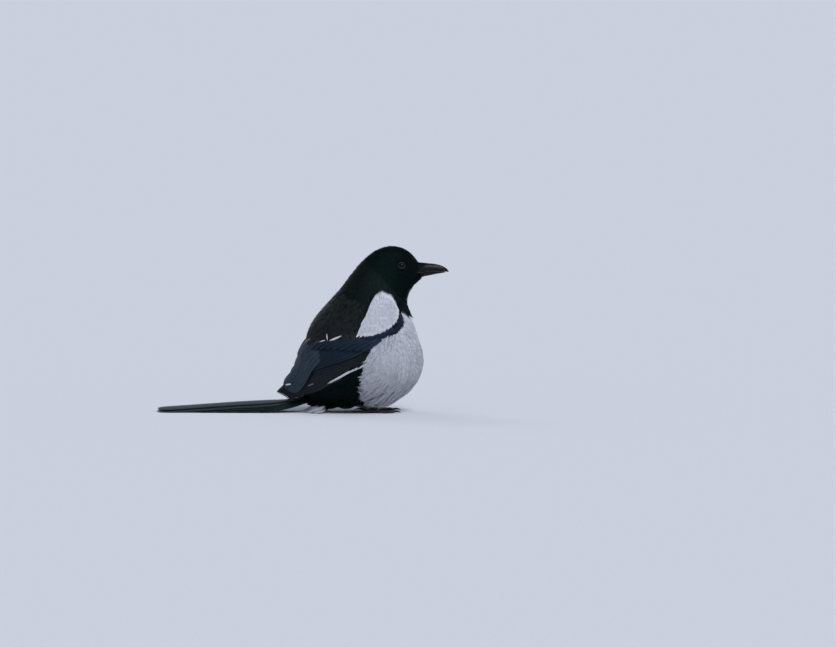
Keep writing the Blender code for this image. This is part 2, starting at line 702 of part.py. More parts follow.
def scapulars(name, side, collection):
    """The white shoulder patch: rows of rounded feathers that fall back over one another."""
    pieces = pieces_of(name)
    for row, (lines, count) in enumerate(zip(SCAPULAR_ROWS, (3, 4, 4))):
        lift, bend = 2.9 - 1.2 * row, (-1.5, 0)
        tier(f"row_{row}", body_loft, side, lines, count, lift, pieces, 0.75, form=SCALE_FORM, bend=bend)
    shares = np.linspace(0, 1, 4)
    place = between(body_loft, SCAPULAR_BACK, SCAPULAR_FRONT, 7, shares)
    fades = np.sin(np.pi * np.linspace(0.12, 0.8, 7))[:, None]
    dome = 0.4 + 2.2 * np.sin(np.pi * shares)[None, :] ** 0.6 * fades
    pad = sheet_slab(name, body_loft, side, place, -SCAPULAR_SINK, dome, collection)
    return feathered(name, pad, pieces, WHITE)


def scapular_seat(side, collection):
    """The room of a shoulder patch in the body and over the arm."""
    place = between(body_loft, *SCAPULAR_SEAT, 7, [0, 0.33, 0.67, 1])
    low = -SCAPULAR_SINK - 3 * GAP
    return sheet_slab(f"scapular_seat_{side}", body_loft, side, place, low, 14, collection)


def thigh_rings(side, swell=0.0, sides=12):
    rings = []
    for x, out, z, radius_x, radius_y in THIGH:
        y = (LEG_Y + out) * side
        rings.append(
            [
                (
                    x + (radius_x + swell) * math.cos(a),
                    y + (radius_y + swell) * math.sin(a),
                    z + 0.15 * radius_x * math.cos(a),
                )
                for a in (2 * math.pi * k / sides for k in range(sides))
            ]
        )
    return rings


def shank_line(side, swell=0.0):
    """The bare shank from the heel to the foot, with its radii, swollen and lengthened by swell."""
    heel = np.array([ANKLE[0], LEG_Y * side, ANKLE[1]])
    foot = np.array([FOOT_JOINT[0], LEG_Y * side, FOOT_JOINT[1]])
    points = [heel + (foot - heel) * share for share in (0, 0.1, 0.3, 0.75, 0.93)]
    longer = unit(foot - heel) * swell
    points[0], points[-1] = points[0] - longer, points[-1] + longer
    return points, [radius + swell for radius in (2.3, 2.9, 1.9, 1.9, 2.4)]


def toe_line(side, degrees, length):
    """A toe from the foot joint, with a low knuckle at each joint, pressed flat under."""
    turn = math.radians(degrees) * side
    start = np.array([FOOT_JOINT[0], LEG_Y * side, 0.0])
    heading = np.array([math.cos(turn), math.sin(turn), 0.0])
    shares = [0.0, 0.25, 0.5, 0.75, 1.0]
    heights = [1.9, 1.4, 1.5, 1.2, 1.1]
    radii = [2.3, 1.8, 2.15, 1.7, 1.6]
    return [tuple(start + heading * length * s + (0, 0, h)) for s, h in zip(shares, heights)], radii


def leg(name, side, collection):
    """Feathered thigh, bare shank, foot with four toes, and four claws, each a node of its own."""
    thigh = rings_mesh(f"thigh_{name}", thigh_rings(side), collection)
    shank = tapered_tube(f"shank_{name}", *shank_line(side), collection)
    swollen = tapered_tube("shank_seat", *shank_line(side, GAP), collection)
    combine(thigh, "DIFFERENCE", [swollen, torso("torso_seat", collection, GAP)])
    keep_largest(thigh)
    foot = ball(f"foot_{name}", (FOOT_JOINT[0], LEG_Y * side, 2.4), (3.4, 3.2, 2.9), collection, 12, 8)
    toes = []
    for k, (degrees, length, _) in enumerate(TOES):
        toes.append(tapered_tube(f"toe_{k}", *toe_line(side, degrees, length), collection))
    combine(foot, "UNION", toes)
    seat = tapered_tube("shank_end", *shank_line(side, GAP), collection)
    combine(foot, "DIFFERENCE", [seat, floor_cutter(collection)])
    keep_largest(foot)
    dress(thigh, BLACK)
    dress(shank, SCALE)
    dress(foot, SCALE)
    for k, (degrees, length, claw_length) in enumerate(TOES):
        turn = math.radians(degrees) * side
        heading = np.array([math.cos(turn), math.sin(turn), 0.0])
        tip = np.array(toe_line(side, degrees, length)[0][-1]) + heading * GAP
        arc = [(0.0, 0.3), (0.35, 0.7), (0.7, 0.3), (1.0, -0.55)]
        line = [tip + heading * claw_length * s + np.array([0, 0, h]) for s, h in arc]
        claw = tapered_tube(f"claw_{name}_{k + 1}", line, [1.3, 1.15, 0.8, 0.3], collection)
        dress(claw, HORN)


def whole_body(collection):
    """Head, neck and torso as one form, with lids, bristles and belly locks, and seats for the rest."""
    body = torso("body", collection)
    extras = bpy.data.collections.new("extras")
    bpy.context.scene.collection.children.link(extras)
    belly_locks(extras)
    for side in (RIGHT, LEFT):
        lid_ring(side, extras)
        bristles(side, extras)
    combine(body, "UNION", list(extras.objects))
    keep_largest(body)
    cutters = [bill_seat(extras), tail_seat(extras), vent_form("vent_seat", GAP, extras)]
    for side in (RIGHT, LEFT):
        cutters.append(eye_ball(f"eye_seat_{side}", side, EYE_RADIUS + GAP, extras))
        cutters.append(wing_seat(side, extras))
        cutters.append(scapular_seat(side, extras))
        cutters.append(tapered_tube(f"shank_room_{side}", *shank_line(side, GAP), extras))
    for cutter in cutters:
        combine(body, "DIFFERENCE", [cutter])
    keep_largest(body)
    plates = [cut_plate(cut, line, extras) for cut, line in PARTING.items()]
    for plate in plates:
        combine(body, "DIFFERENCE", [plate])
    bpy.data.collections.remove(extras)
    return body


def part_body(body, collection):
    """Names the pieces that the thin cuts leave, each by the point that lies nearest to its middle."""
    work = bmesh.new()
    work.from_mesh(body.data)
    pieces = []
    for faces in closed_parts(work)[: len(PIECES)]:
        order = {v: i for i, v in enumerate({v for f in faces for v in f.verts})}
        mesh = bpy.data.meshes.new("piece")
        mesh.from_pydata([v.co[:] for v in order], [], [[order[v] for v in f.verts] for f in faces])
        pieces.append(mesh)
    work.free()
    bpy.data.objects.remove(body)
    for name, (x, z) in PIECES.items():
        anchor = Vector((x, 0, z)) * MM

        def distance(mesh):
            total = sum((v.co for v in mesh.vertices), Vector()) / len(mesh.vertices)
            return (Vector((total.x, 0, total.z)) - anchor).length

        mesh = min(pieces, key=distance)
        pieces.remove(mesh)
        dress(new_object(name, mesh, collection), WHITE if name == "belly" else BLACK)


def main():
    for old in list(bpy.data.objects):
        bpy.data.objects.remove(old)
    collection = bpy.data.collections.new("magpie")
    bpy.context.scene.collection.children.link(collection)
    part_body(whole_body(collection), collection)
    for name, side in (("right", RIGHT), ("left", LEFT)):
        dress(eye_ball(f"eye_{name}", side, EYE_RADIUS, collection), EYE)
        wing(f"wing_{name}", side, collection)
        scapulars(f"scapulars_{name}", side, collection)
        leg(name, side, collection)
    bill_half("bill_upper", 1, collection)
    bill_half("bill_lower", -1, collection)
    tail(collection)
    vent(collection)
    corners = np.array([v.co for part in collection.objects for v in part.data.vertices])
    middle = (corners.min(0) + corners.max(0)) / 2
    stand = bpy.data.objects.new("magpie_origin", None)
    stand.location = (-middle[0], -middle[1], 0)
    collection.objects.link(stand)
    for part in collection.objects:
        if part is not stand:
            part.parent = stand


main()
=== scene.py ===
"""The look of a Eurasian magpie at life size, fluffed up and squatting, its long tail laid on the floor.

The bird looks along +X and its left side is +Y. Forms are worked out in millimetres of the side view,
where x = 0 lies under the middle of the belly, and go to the frame's metres when a mesh is made.
"""

import json
import math

import bpy
import numpy as np
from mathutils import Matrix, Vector
from mathutils.bvhtree import BVHTree

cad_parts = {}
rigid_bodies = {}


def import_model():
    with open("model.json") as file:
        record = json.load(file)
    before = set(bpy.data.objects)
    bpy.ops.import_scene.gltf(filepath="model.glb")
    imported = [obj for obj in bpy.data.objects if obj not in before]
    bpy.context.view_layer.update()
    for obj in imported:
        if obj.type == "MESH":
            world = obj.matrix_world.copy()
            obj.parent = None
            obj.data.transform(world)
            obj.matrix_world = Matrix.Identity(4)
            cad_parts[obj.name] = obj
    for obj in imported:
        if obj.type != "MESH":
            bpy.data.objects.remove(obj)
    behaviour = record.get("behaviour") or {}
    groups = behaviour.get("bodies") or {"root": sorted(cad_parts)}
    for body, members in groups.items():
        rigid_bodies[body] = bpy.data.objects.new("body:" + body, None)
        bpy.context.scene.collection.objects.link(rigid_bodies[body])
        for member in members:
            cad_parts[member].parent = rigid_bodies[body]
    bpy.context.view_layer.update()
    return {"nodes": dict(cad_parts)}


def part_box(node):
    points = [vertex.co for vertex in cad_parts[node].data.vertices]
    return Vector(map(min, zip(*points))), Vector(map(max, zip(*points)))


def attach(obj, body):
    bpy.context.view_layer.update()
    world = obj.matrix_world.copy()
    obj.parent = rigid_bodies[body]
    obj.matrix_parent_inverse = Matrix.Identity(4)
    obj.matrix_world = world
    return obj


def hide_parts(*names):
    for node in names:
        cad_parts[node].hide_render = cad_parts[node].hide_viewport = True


for old in list(bpy.data.objects):
    bpy.data.objects.remove(old)
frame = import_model()

MM = 0.001
FLOOR_GAP = 0.0002  # metres that every feather stays above the floor
FLOOR_STAGGER = 0.0006  # how unevenly the feathers that reach the floor lie on it
RIGHT, LEFT = -1, 1
SIDES = (("right", RIGHT), ("left", LEFT))
BILL_TIP_X = 96.2  # the bill's tip in the side view
ORIGIN = np.array([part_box("bill_upper")[1].x / MM - BILL_TIP_X, 0, 0])

# The body in chords of the middle plane, from rump to bill base: dorsal x, z, ventral x, z, half width.
BODY = [
    (-77, 28, -66, 12, 10),
    (-78, 43, -53, 8, 20),
    (-74, 60, -36, 7, 32),
    (-69, 76, -14, 8, 44),
    (-66, 92, 12, 8, 52),
    (-58.5, 107, 36, 13, 55),
    (-48, 120, 54, 27, 54.5),
    (-37, 132, 64, 46, 52),
    (-28, 142, 65, 66, 48),
    (-21.5, 151, 61.5, 85, 42.5),
    (-14.5, 160, 55.5, 104, 36),
    (-6.5, 170, 49.5, 119, 30),
    (3, 179, 48, 129, 26),
    (14.5, 187, 50.5, 137.5, 23.5),
    (29, 191, 54.5, 144, 22),
    (42, 189, 58.5, 148.5, 19.5),
    (51.5, 183.5, 61.5, 151.5, 15.5),
    (57.5, 177, 64.5, 154, 11.5),
    (61.5, 172, 66.5, 156.5, 7.5),
]
# The sheet that the folded wing lies on, in the same form.
WING = [
    (-107, 20, -84, 9, 9),
    (-94, 37, -60, 8, 19),
    (-81.5, 54, -36, 6, 30),
    (-73, 72, -14, 6, 41),
    (-64, 89, 12, 6, 47.5),
    (-55, 104, 36, 12, 51),
    (-45, 117, 54, 28, 51),
    (-35, 129, 62, 47, 48.5),
    (-27, 139, 62, 67, 44.5),
    (-21, 148, 58, 85, 39.5),
    (-15, 157, 52, 103, 33),
]
MIDDLE_GAP = 2.0  # how far the feathers of a wing stay from the middle plane
LAYER = 0.36  # rise from a vane of the wing to the one that lies over it
TAIL_LAYER = 0.85
VANE = 0.25  # thickness of a vane

# Midlines of the first and last feather of each row of the folded wing, from root to tip in the side view.
PRIMARIES = [[(12, 84), (-40, 58), (-101, 22.5)], [(-2, 59), (-40, 36.5), (-88, 16.5)]]
SECONDARIES = [[(-28, 82), (-48, 72), (-64, 58)], [(12, 84), (-26, 63.5), (-70, 42)]]
TERTIALS = [[(-56, 79), (-64, 72), (-69, 62)], [(-44, 80), (-67, 52), (-88, 27)]]
GREATER_COVERTS = [[(-44, 85), (-54, 79), (-61, 72)], [(18, 88), (8, 82), (-4, 74)]]
WHITE_EDGES = [  # pale edge of the lowest primary, and white tips further back: midline, half width, lift
    ([(4, 60), (-18, 49.5), (-42, 36)], 1.1, 2.0),
    ([(-82, 33.2), (-85, 32.4), (-88, 31.6)], 1.0, 5.2),
    ([(-58, 35.5), (-61.5, 33.9), (-65, 32.3)], 0.25, 1.7),
]
ARM_TOP = [(40.5, 112), (36.5, 98), (26, 94), (10, 89), (-10, 88), (-46, 83), (-68, 76)]
ARM_LOW = [(46, 101), (38, 92), (26, 88), (12, 83), (-4, 80), (-44, 77), (-66, 72)]
HAND = [[(13, 86), (4, 70), (-5, 56)], [(7, 85), (-1, 69), (-9, 54)]]

# Outlines in the side view: the white shoulder patch, the folded wing and the white of the breast.
PATCH = [
    (15, 140.6), (9.2, 134), (5.5, 124), (-2.5, 107.5), (-9.5, 89), (4, 89), (14, 91),
    (22.5, 94.5), (31, 99.5), (38, 108.3), (40.2, 118.5), (38, 127), (31, 137.5), (22, 141.3),
]
FOLDED_WING = [
    (41, 116), (36.5, 101), (26, 96), (10, 90), (-10, 90), (-28, 91.5), (-46, 86.5), (-63, 81), (-72, 77),
    (-101, 30), (-104, 16), (-88, 14), (-40, 32), (-6, 56), (2, 66), (14, 80), (27, 88), (40, 92), (46, 101),
]
BREAST = [
    (40.3, 121), (49, 112.8), (55, 107.6), (90, 100), (90, -10), (0, -10), (-3, 31), (-2, 45), (2, 57),
    (4, 67), (9, 77), (15, 85.5), (21, 90), (30, 93.5), (38, 96.5), (44, 102), (44.5, 111),
]

EYE_AT = (42.1, 169.6)
EYE_RADIUS = 5.0
EYE_PROUD = 1.8  # how far the eyeball stands off the face
EYE_HOLE = 3.75  # no feather is rooted closer to the eye's middle

# The bill's x, with the heights there of its ridge, mouth line and underside, and its half width. The first
# two are wider than the solid's, and reach the corner of the mouth.
BILL = [
    (56.0, 170.6, 160.2, 156.6, 9.4),
    (60.0, 171.4, 160.9, 156.0, 8.0),
    (64.0, 171.6, 161.4, 155.8, 6.4),
    (71.0, 171.2, 162.4, 156.6, 5.7),
    (77.0, 170.9, 162.7, 157.8, 4.9),
    (84.0, 169.7, 162.5, 159.2, 3.8),
    (90.0, 167.6, 162.0, 160.2, 2.6),
    (94.0, 164.9, 161.4, 160.8, 1.3),
]
BILL_END = (BILL_TIP_X, 162.2, 161.0, 160.6, 0.6)
LOWER_BILL_END = (92.6, 0, 161.5, 160.9, 1.3)

TAIL_RIDGE = [(-50, 25), (-64, 19), (-86, 14), (-112, 11.8), (-150, 9.6), (-190, 6.8), (-240, 3.4)]
TAIL_ROLL = math.radians(9)
TAIL_FEATHERS = [  # length, outer edge and inner edge from the ridge, for each pair from the middle out
    (190, 16.5, -9.0),
    (151, 18.5, 0.5),
    (128, 20.0, 0.5),
    (104, 21.0, 0.5),
    (79, 22.0, 0.5),
    (58, 22.5, 2.0),
]

LEG_Y = 19
ANKLE = (-27, 15)
FOOT_JOINT = (9, 3.6)
TOES = [(180, 13, 9), (-17, 16, 7), (2, 24, 8), (22, 18, 7)]  # degrees, length, claw length


def unit(v):
    """Vectors at length one."""
    return v / np.maximum(np.linalg.norm(v, axis=-1, keepdims=True), 1e-9)


def curve_at(points, t):
    """A smooth curve through points, read at t, which counts points from 0."""
    points = np.asarray(points, float)
    last = len(points) - 1
    t = np.clip(np.asarray(t, float), 0, last)
    i = np.minimum(t.astype(int), last - 1)
    f = (t - i)[..., None]
    before, after = points[np.maximum(i - 1, 0)], points[np.minimum(i + 2, last)]
    a, b = points[i], points[i + 1]
    slope_a, slope_b = (b - before) / 2, (after - a) / 2
    return (
        a * (1 + 2 * f) * (1 - f) ** 2
        + slope_a * f * (1 - f) ** 2
        + b * f * f * (3 - 2 * f)
        - slope_b * f * f * (1 - f)
    )


class Loft:
    """A form swept through chords.

    t counts the chords. angle runs from 0 on the back to pi on the belly, and is positive on the left side.
    """

    def __init__(self, chords):
        self.chords = chords
        self.last = len(chords) - 1

    def flat_point(self, t, angle):
        """The place of t and angle on the form itself."""
        row = curve_at(self.chords, t)
        dorsal, ventral, half_width = row[..., 0:2], row[..., 2:4], row[..., 4]
        middle, half_chord = (dorsal + ventral) / 2, (ventral - dorsal) / 2
        place = middle - half_chord * np.cos(angle)[..., None]
        return np.stack([place[..., 0], half_width * np.sin(angle), place[..., 1]], -1)

    def axes(self, t, angle):
        """The steps of the surface with t and with angle, and its outward normal."""
        small = 1e-3
        along = (self.flat_point(t + small, angle) - self.flat_point(t - small, angle)) / (2 * small)
        around = (self.flat_point(t, angle + small) - self.flat_point(t, angle - small)) / (2 * small)
        return along, around, unit(np.cross(along, around))

    def point(self, t, angle, lift=0.0):
        """A place that stands off the form by lift."""
        t, angle = np.broadcast_arrays(np.asarray(t, float), np.asarray(angle, float))
        inner = np.clip(t, 0.01, self.last - 0.01)
        return self.flat_point(t, angle) + self.axes(inner, angle)[2] * np.asarray(lift, float)[..., None]

    def step(self, t, angle, way):
        """How t and angle change along a vector that lies in the surface."""
        along, around, _ = self.axes(t, angle)
        aa, ab, bb = (along**2).sum(-1), (along * around).sum(-1), (around**2).sum(-1)
        wa, wb = (way * along).sum(-1), (way * around).sum(-1)
        det = np.maximum(aa * bb - ab * ab, 1e-6)
        return (wa * bb - wb * ab) / det, (wb * aa - wa * ab) / det

    def locate(self, x, z):
        """The (t, angle) on the left side whose side view lies nearest to x, z."""
        t_range, angle_range = (0.0, float(self.last)), (0.02, math.radians(178))
        for _ in range(5):
            t, angle = np.meshgrid(np.linspace(*t_range, 41), np.linspace(*angle_range, 41), indexing="ij")
            place = self.flat_point(t, angle)
            best = np.argmin((place[..., 0] - x) ** 2 + (place[..., 2] - z) ** 2)
            t0, angle0 = t.flat[best], angle.flat[best]
            t_step, angle_step = (t_range[1] - t_range[0]) / 16, (angle_range[1] - angle_range[0]) / 16
            t_range = (max(t0 - t_step, 0), min(t0 + t_step, self.last))
            angle_range = (max(angle0 - angle_step, 0.005), min(angle0 + angle_step, 3.13))
        return np.array([t0, angle0])


body, wing = Loft(BODY), Loft(WING)


def inside(outline, x, z):
    """Whether places of the side view lie in an outline."""
    found = np.zeros(np.shape(x), bool)
    for (x0, z0), (x1, z1) in zip(outline, outline[1:] + outline[:1]):
        if z0 == z1:
            continue
        crosses = (z0 > z) != (z1 > z)
        found ^= crosses & (x < x0 + (x1 - x0) * (z - z0) / (z1 - z0))
    return found


class Relief:
    """How far the outermost solid stands off the body's loft, as a smooth field of t and angle."""

    ROWS, COLUMNS, REACH = 181, 180, 11.0

    def __init__(self, nodes, smoothing):
        points, faces = [], []
        for node in nodes:
            mesh = frame["nodes"][node].data
            start = len(points)
            points += [v.co[:] for v in mesh.vertices]
            faces += [[start + i for i in face.vertices] for face in mesh.polygons]
        tree = BVHTree.FromPolygons(points, faces)
        t = np.linspace(0.02, body.last - 0.02, self.ROWS)[:, None]
        angle = (np.arange(self.COLUMNS) * 2 * math.pi / self.COLUMNS)[None, :]
        t, angle = np.broadcast_arrays(t, angle)
        start = to_frame(body.point(t, angle, np.full(t.shape, self.REACH))).reshape(-1, 3)
        way = -body.axes(t, angle)[2].reshape(-1, 3)
        reach = 2 * self.REACH * MM
        hits = [tree.ray_cast(Vector(a), Vector(b), reach)[3] for a, b in zip(start, way)]
        gone = np.array([np.nan if hit is None else hit / MM for hit in hits]).reshape(t.shape)
        height = np.nan_to_num(self.REACH - gone, nan=0.0).clip(-1.0, 9.0)
        for _ in range(smoothing):
            height = (np.roll(height, 1, 1) + 2 * height + np.roll(height, -1, 1)) / 4
            edge = np.concatenate([height[:1], height, height[-1:]])
            height = (edge[:-2] + 2 * edge[1:-1] + edge[2:]) / 4
        self.height = height

    def at(self, t, angle):
        """The relief at t and angle, read between the samples."""
        row = np.clip(t / body.last * (self.ROWS - 1), 0, self.ROWS - 1.001)
        column = (angle / (2 * math.pi) * self.COLUMNS) % self.COLUMNS
        i, j = row.astype(int), column.astype(int) % self.COLUMNS
        f, g = row - i, column - column.astype(int)
        k = (j + 1) % self.COLUMNS
        low = self.height[i, j] * (1 - g) + self.height[i, k] * g
        high = self.height[i + 1, j] * (1 - g) + self.height[i + 1, k] * g
        return low * (1 - f) + high * f


def to_frame(points):
    """From millimetres of the side view to the frame's metres."""
    return (np.asarray(points) + ORIGIN) * MM


def hex_colour(code):
    """An sRGB hex colour as linear RGBA."""
    shares = [int(code[i : i + 2], 16) / 255 for i in (1, 3, 5)]
    return (*[s / 12.92 if s <= 0.04045 else ((s + 0.055) / 1.055) ** 2.4 for s in shares], 1)


def add(tree, kind, inputs=(), stops=(), **settings):
    """Adds a shader node with its settings.

    Each input takes a value, the socket that feeds it, or a node whose first output feeds it. stops are the
    places and hex colours of a colour ramp.
    """
    made = tree.nodes.new(f"ShaderNode{kind}")
    for key, value in settings.items():
        setattr(made, key, value)
    for key, value in dict(inputs).items():
        value = value.outputs[0] if isinstance(value, bpy.types.Node) else value
        if isinstance(value, bpy.types.NodeSocket):
            tree.links.new(value, made.inputs[key])
        else:
            made.inputs[key].default_value = value
    for count, (place, code) in enumerate(stops):
        elements = made.color_ramp.elements
        element = elements[count] if count < 2 else elements.new(place)
        element.position = place
        element.color = hex_colour(code)
    return made


def empty_material(name):
    """A new material and its emptied node tree."""
    made = bpy.data.materials.new(name)
    made.use_nodes = True
    made.node_tree.nodes.clear()
    return made, made.node_tree


def plumage(name, root, middle, tip, roughness, specular, sheen=0.0, spread=0.25, tint="#ffffff"):
    """Contour feathers: loose keratin barbs, so matt. Each strand pales from its downy root to its tip:
    partly the grey down at its base, partly painted shade where the strands overlap.
    """
    made, tree = empty_material(name)
    marks = add(tree, "Attribute", attribute_name="strand").outputs["Vector"]
    strand = add(tree, "SeparateXYZ", {"Vector": marks})
    # The darker root is partly the feather's own down and partly painted shade between the strands.
    base = add(tree, "ValToRGB", {"Fac": strand}, [(0.0, root), (0.45, middle), (1.0, tip)])
    tone = {0: strand.outputs["Z"], 1: spread, 2: 1 - spread / 2}
    value = add(tree, "Math", tone, operation="MULTIPLY_ADD")
    inputs = {
        "Base Color": add(tree, "HueSaturation", {"Color": base, "Value": value}),
        "Roughness": roughness,
        "IOR": 1.54,
        "Specular IOR Level": specular,
        "Specular Tint": hex_colour(tint),
        "Sheen Weight": sheen,
        "Sheen Roughness": 0.4,
    }
    add(tree, "OutputMaterial", {"Surface": add(tree, "BsdfPrincipled", inputs)})
    return made


def vane_finish(name, web, edge, shaft, roughness, specular, tint, contrast=0.35):
    """Flight feathers: barbs side by side at a slant to the shaft, whose thin film glints with colour."""
    made, tree = empty_material(name)
    marks = add(tree, "Attribute", attribute_name="vane").outputs["Vector"]
    vane = add(tree, "SeparateXYZ", {"Vector": marks})
    across, along, tone = (vane.outputs[axis] for axis in "XYZ")
    rim = add(tree, "Attribute", attribute_name="rim").outputs["Fac"]
    lean = add(tree, "Math", {0: across}, operation="ABSOLUTE")
    barb = add(tree, "Math", {0: lean, 1: -1.3, 2: along}, operation="MULTIPLY_ADD")
    # Barbs are 0.25 mm apart, and are drawn 0.8 mm apart so that they show.
    fine_step = add(tree, "Math", {0: barb, 1: 1.25}, operation="MULTIPLY")
    side_step = add(tree, "Math", {0: across, 1: 0.12}, operation="MULTIPLY")
    fine_place = add(tree, "CombineXYZ", {"X": fine_step, "Y": side_step, "Z": tone})
    fine_noise = {"Vector": fine_place, "Scale": 1.0, "Detail": 2.0, "Roughness": 0.6}
    fine = add(tree, "TexNoise", fine_noise).outputs["Fac"]
    # Wear and film thickness change the depth of the colour over 10 to 20 mm.
    broad_step = add(tree, "Math", {0: barb, 1: 0.08}, operation="MULTIPLY")
    apart = add(tree, "Math", {0: tone, 1: 9.0}, operation="MULTIPLY")
    broad_place = add(tree, "CombineXYZ", {"X": broad_step, "Z": apart})
    broad = add(tree, "TexNoise", {"Vector": broad_place, "Scale": 1.0, "Detail": 1.0}).outputs["Fac"]
    colours = add(tree, "ValToRGB", {"Fac": rim}, [(0.0, web), (0.6, web), (1.0, edge)])
    grain = add(tree, "Math", {0: fine, 1: contrast, 2: 1 - contrast / 2}, operation="MULTIPLY_ADD")
    depth = add(tree, "Math", {0: broad, 1: 0.6, 2: 0.7}, operation="MULTIPLY_ADD")
    each = add(tree, "Math", {0: tone, 1: 0.3, 2: 0.85}, operation="MULTIPLY_ADD")
    worn = add(tree, "Math", {0: grain, 1: depth}, operation="MULTIPLY")
    value = add(tree, "Math", {0: worn, 1: each}, operation="MULTIPLY")
    shaded = add(tree, "HueSaturation", {"Color": colours, "Value": value})
    on_shaft = add(tree, "Math", {0: lean, 1: 0.35}, operation="LESS_THAN")
    inputs = {
        "Base Color": add(tree, "MixRGB", {"Fac": on_shaft, "Color1": shaded, "Color2": hex_colour(shaft)}),
        "Roughness": add(tree, "Math", {0: fine, 1: 0.2, 2: roughness - 0.1}, operation="MULTIPLY_ADD"),
        "IOR": 1.54,
        "Specular IOR Level": specular,
        "Specular Tint": hex_colour(tint),
        "Normal": add(tree, "Bump", {"Height": fine, "Strength": 0.35, "Distance": 0.0002}),
    }
    add(tree, "OutputMaterial", {"Surface": add(tree, "BsdfPrincipled", inputs)})
    return made


def horn_finish(name, dark, pale):
    """Keratin horn: hard, with a dull polish and fine growth lines along its length."""
    made, tree = empty_material(name)
    # Growth lines run along the bill, about 1 mm apart.
    place = add(tree, "TexCoord").outputs["Object"]
    place = add(tree, "Mapping", {"Vector": place, "Scale": (120, 900, 1100)})
    lines = add(tree, "TexNoise", {"Vector": place, "Scale": 1.0, "Detail": 3.0}).outputs["Fac"]
    inputs = {
        "Base Color": add(tree, "ValToRGB", {"Fac": lines}, [(0.3, dark), (0.75, pale)]),
        "Roughness": add(tree, "Math", {0: lines, 1: 0.25, 2: 0.24}, operation="MULTIPLY_ADD"),
        "IOR": 1.54,
        "Specular IOR Level": 0.15,
        "Normal": add(tree, "Bump", {"Height": lines, "Strength": 0.3, "Distance": 0.0002}),
    }
    add(tree, "OutputMaterial", {"Surface": add(tree, "BsdfPrincipled", inputs)})
    return made


def scale_finish(name, seam, scale):
    """Leg skin: horny scutes with a low polish, darker in the seams between them."""
    made, tree = empty_material(name)
    # Scales of the toes are about 1.3 mm wide.
    place = add(tree, "TexCoord").outputs["Object"]
    cells = add(tree, "TexVoronoi", {"Vector": place, "Scale": 750.0}, feature="DISTANCE_TO_EDGE")
    cells = cells.outputs["Distance"]
    inputs = {
        "Base Color": add(tree, "ValToRGB", {"Fac": cells}, [(0.0, seam), (0.12, scale), (0.6, scale)]),
        "Roughness": add(tree, "Math", {0: cells, 1: -0.3, 2: 0.55}, operation="MULTIPLY_ADD"),
        "IOR": 1.54,
        "Specular IOR Level": 0.35,
        "Normal": add(tree, "Bump", {"Height": cells, "Strength": 0.6, "Distance": 0.0004}),
    }
    add(tree, "OutputMaterial", {"Surface": add(tree, "BsdfPrincipled", inputs)})
    return made


def eye_finish():
    """A wet cornea over a dark brown iris and a black pupil."""
    made, tree = empty_material("wet_eye")
    marks = add(tree, "Attribute", attribute_name="gaze").outputs["Vector"]
    gaze = add(tree, "SeparateXYZ", {"Vector": marks})
    # The fibres of the iris run out from the pupil, about 0.3 mm apart.
    spokes = add(tree, "Math", {0: gaze.outputs["Z"], 1: 9.0}, operation="MULTIPLY")
    place = add(tree, "CombineXYZ", {"X": spokes, "Y": gaze})
    fibres = add(tree, "TexNoise", {"Vector": place, "Scale": 3.0})
    edge = add(tree, "Math", {0: fibres.outputs["Fac"], 1: 0.06, 2: gaze}, operation="MULTIPLY_ADD")
    stops = [(0.24, "#010101"), (0.27, "#0a0705"), (0.42, "#120b07"), (0.54, "#070504"), (0.62, "#020202")]
    inputs = {
        "Base Color": add(tree, "ValToRGB", {"Fac": edge}, stops),
        "Roughness": 0.15,
        "IOR": 1.376,
        "Specular IOR Level": 0.05,
        "Coat Weight": 0.2,
        "Coat Roughness": 0.03,
    }
    add(tree, "OutputMaterial", {"Surface": add(tree, "BsdfPrincipled", inputs)})
    return made


def skin_finish():
    """Bare skin and down between the feathers: matt, black under black feathers and grey under the white."""
    made, tree = empty_material("downy_skin")
    marks = add(tree, "Attribute", attribute_name="strand").outputs["Vector"]
    white = add(tree, "SeparateXYZ", {"Vector": marks})
    place = add(tree, "TexCoord").outputs["Object"]
    # Down feathers are about 2 mm across.
    down = add(tree, "TexNoise", {"Vector": place, "Scale": 600.0, "Detail": 3.0}).outputs["Fac"]
    dark = add(tree, "ValToRGB", {"Fac": down}, [(0.3, "#030405"), (0.7, "#090b0c")])
    pale = add(tree, "ValToRGB", {"Fac": down}, [(0.3, "#a3a5af"), (0.7, "#bfc1ca")])
    inputs = {
        "Base Color": add(tree, "MixRGB", {"Fac": white, "Color1": dark, "Color2": pale}),
        "Roughness": 0.85,
        "Specular IOR Level": 0.1,
        "Normal": add(tree, "Bump", {"Height": down, "Strength": 0.5, "Distance": 0.0005}),
    }
    add(tree, "OutputMaterial", {"Surface": add(tree, "BsdfPrincipled", inputs)})
    return made


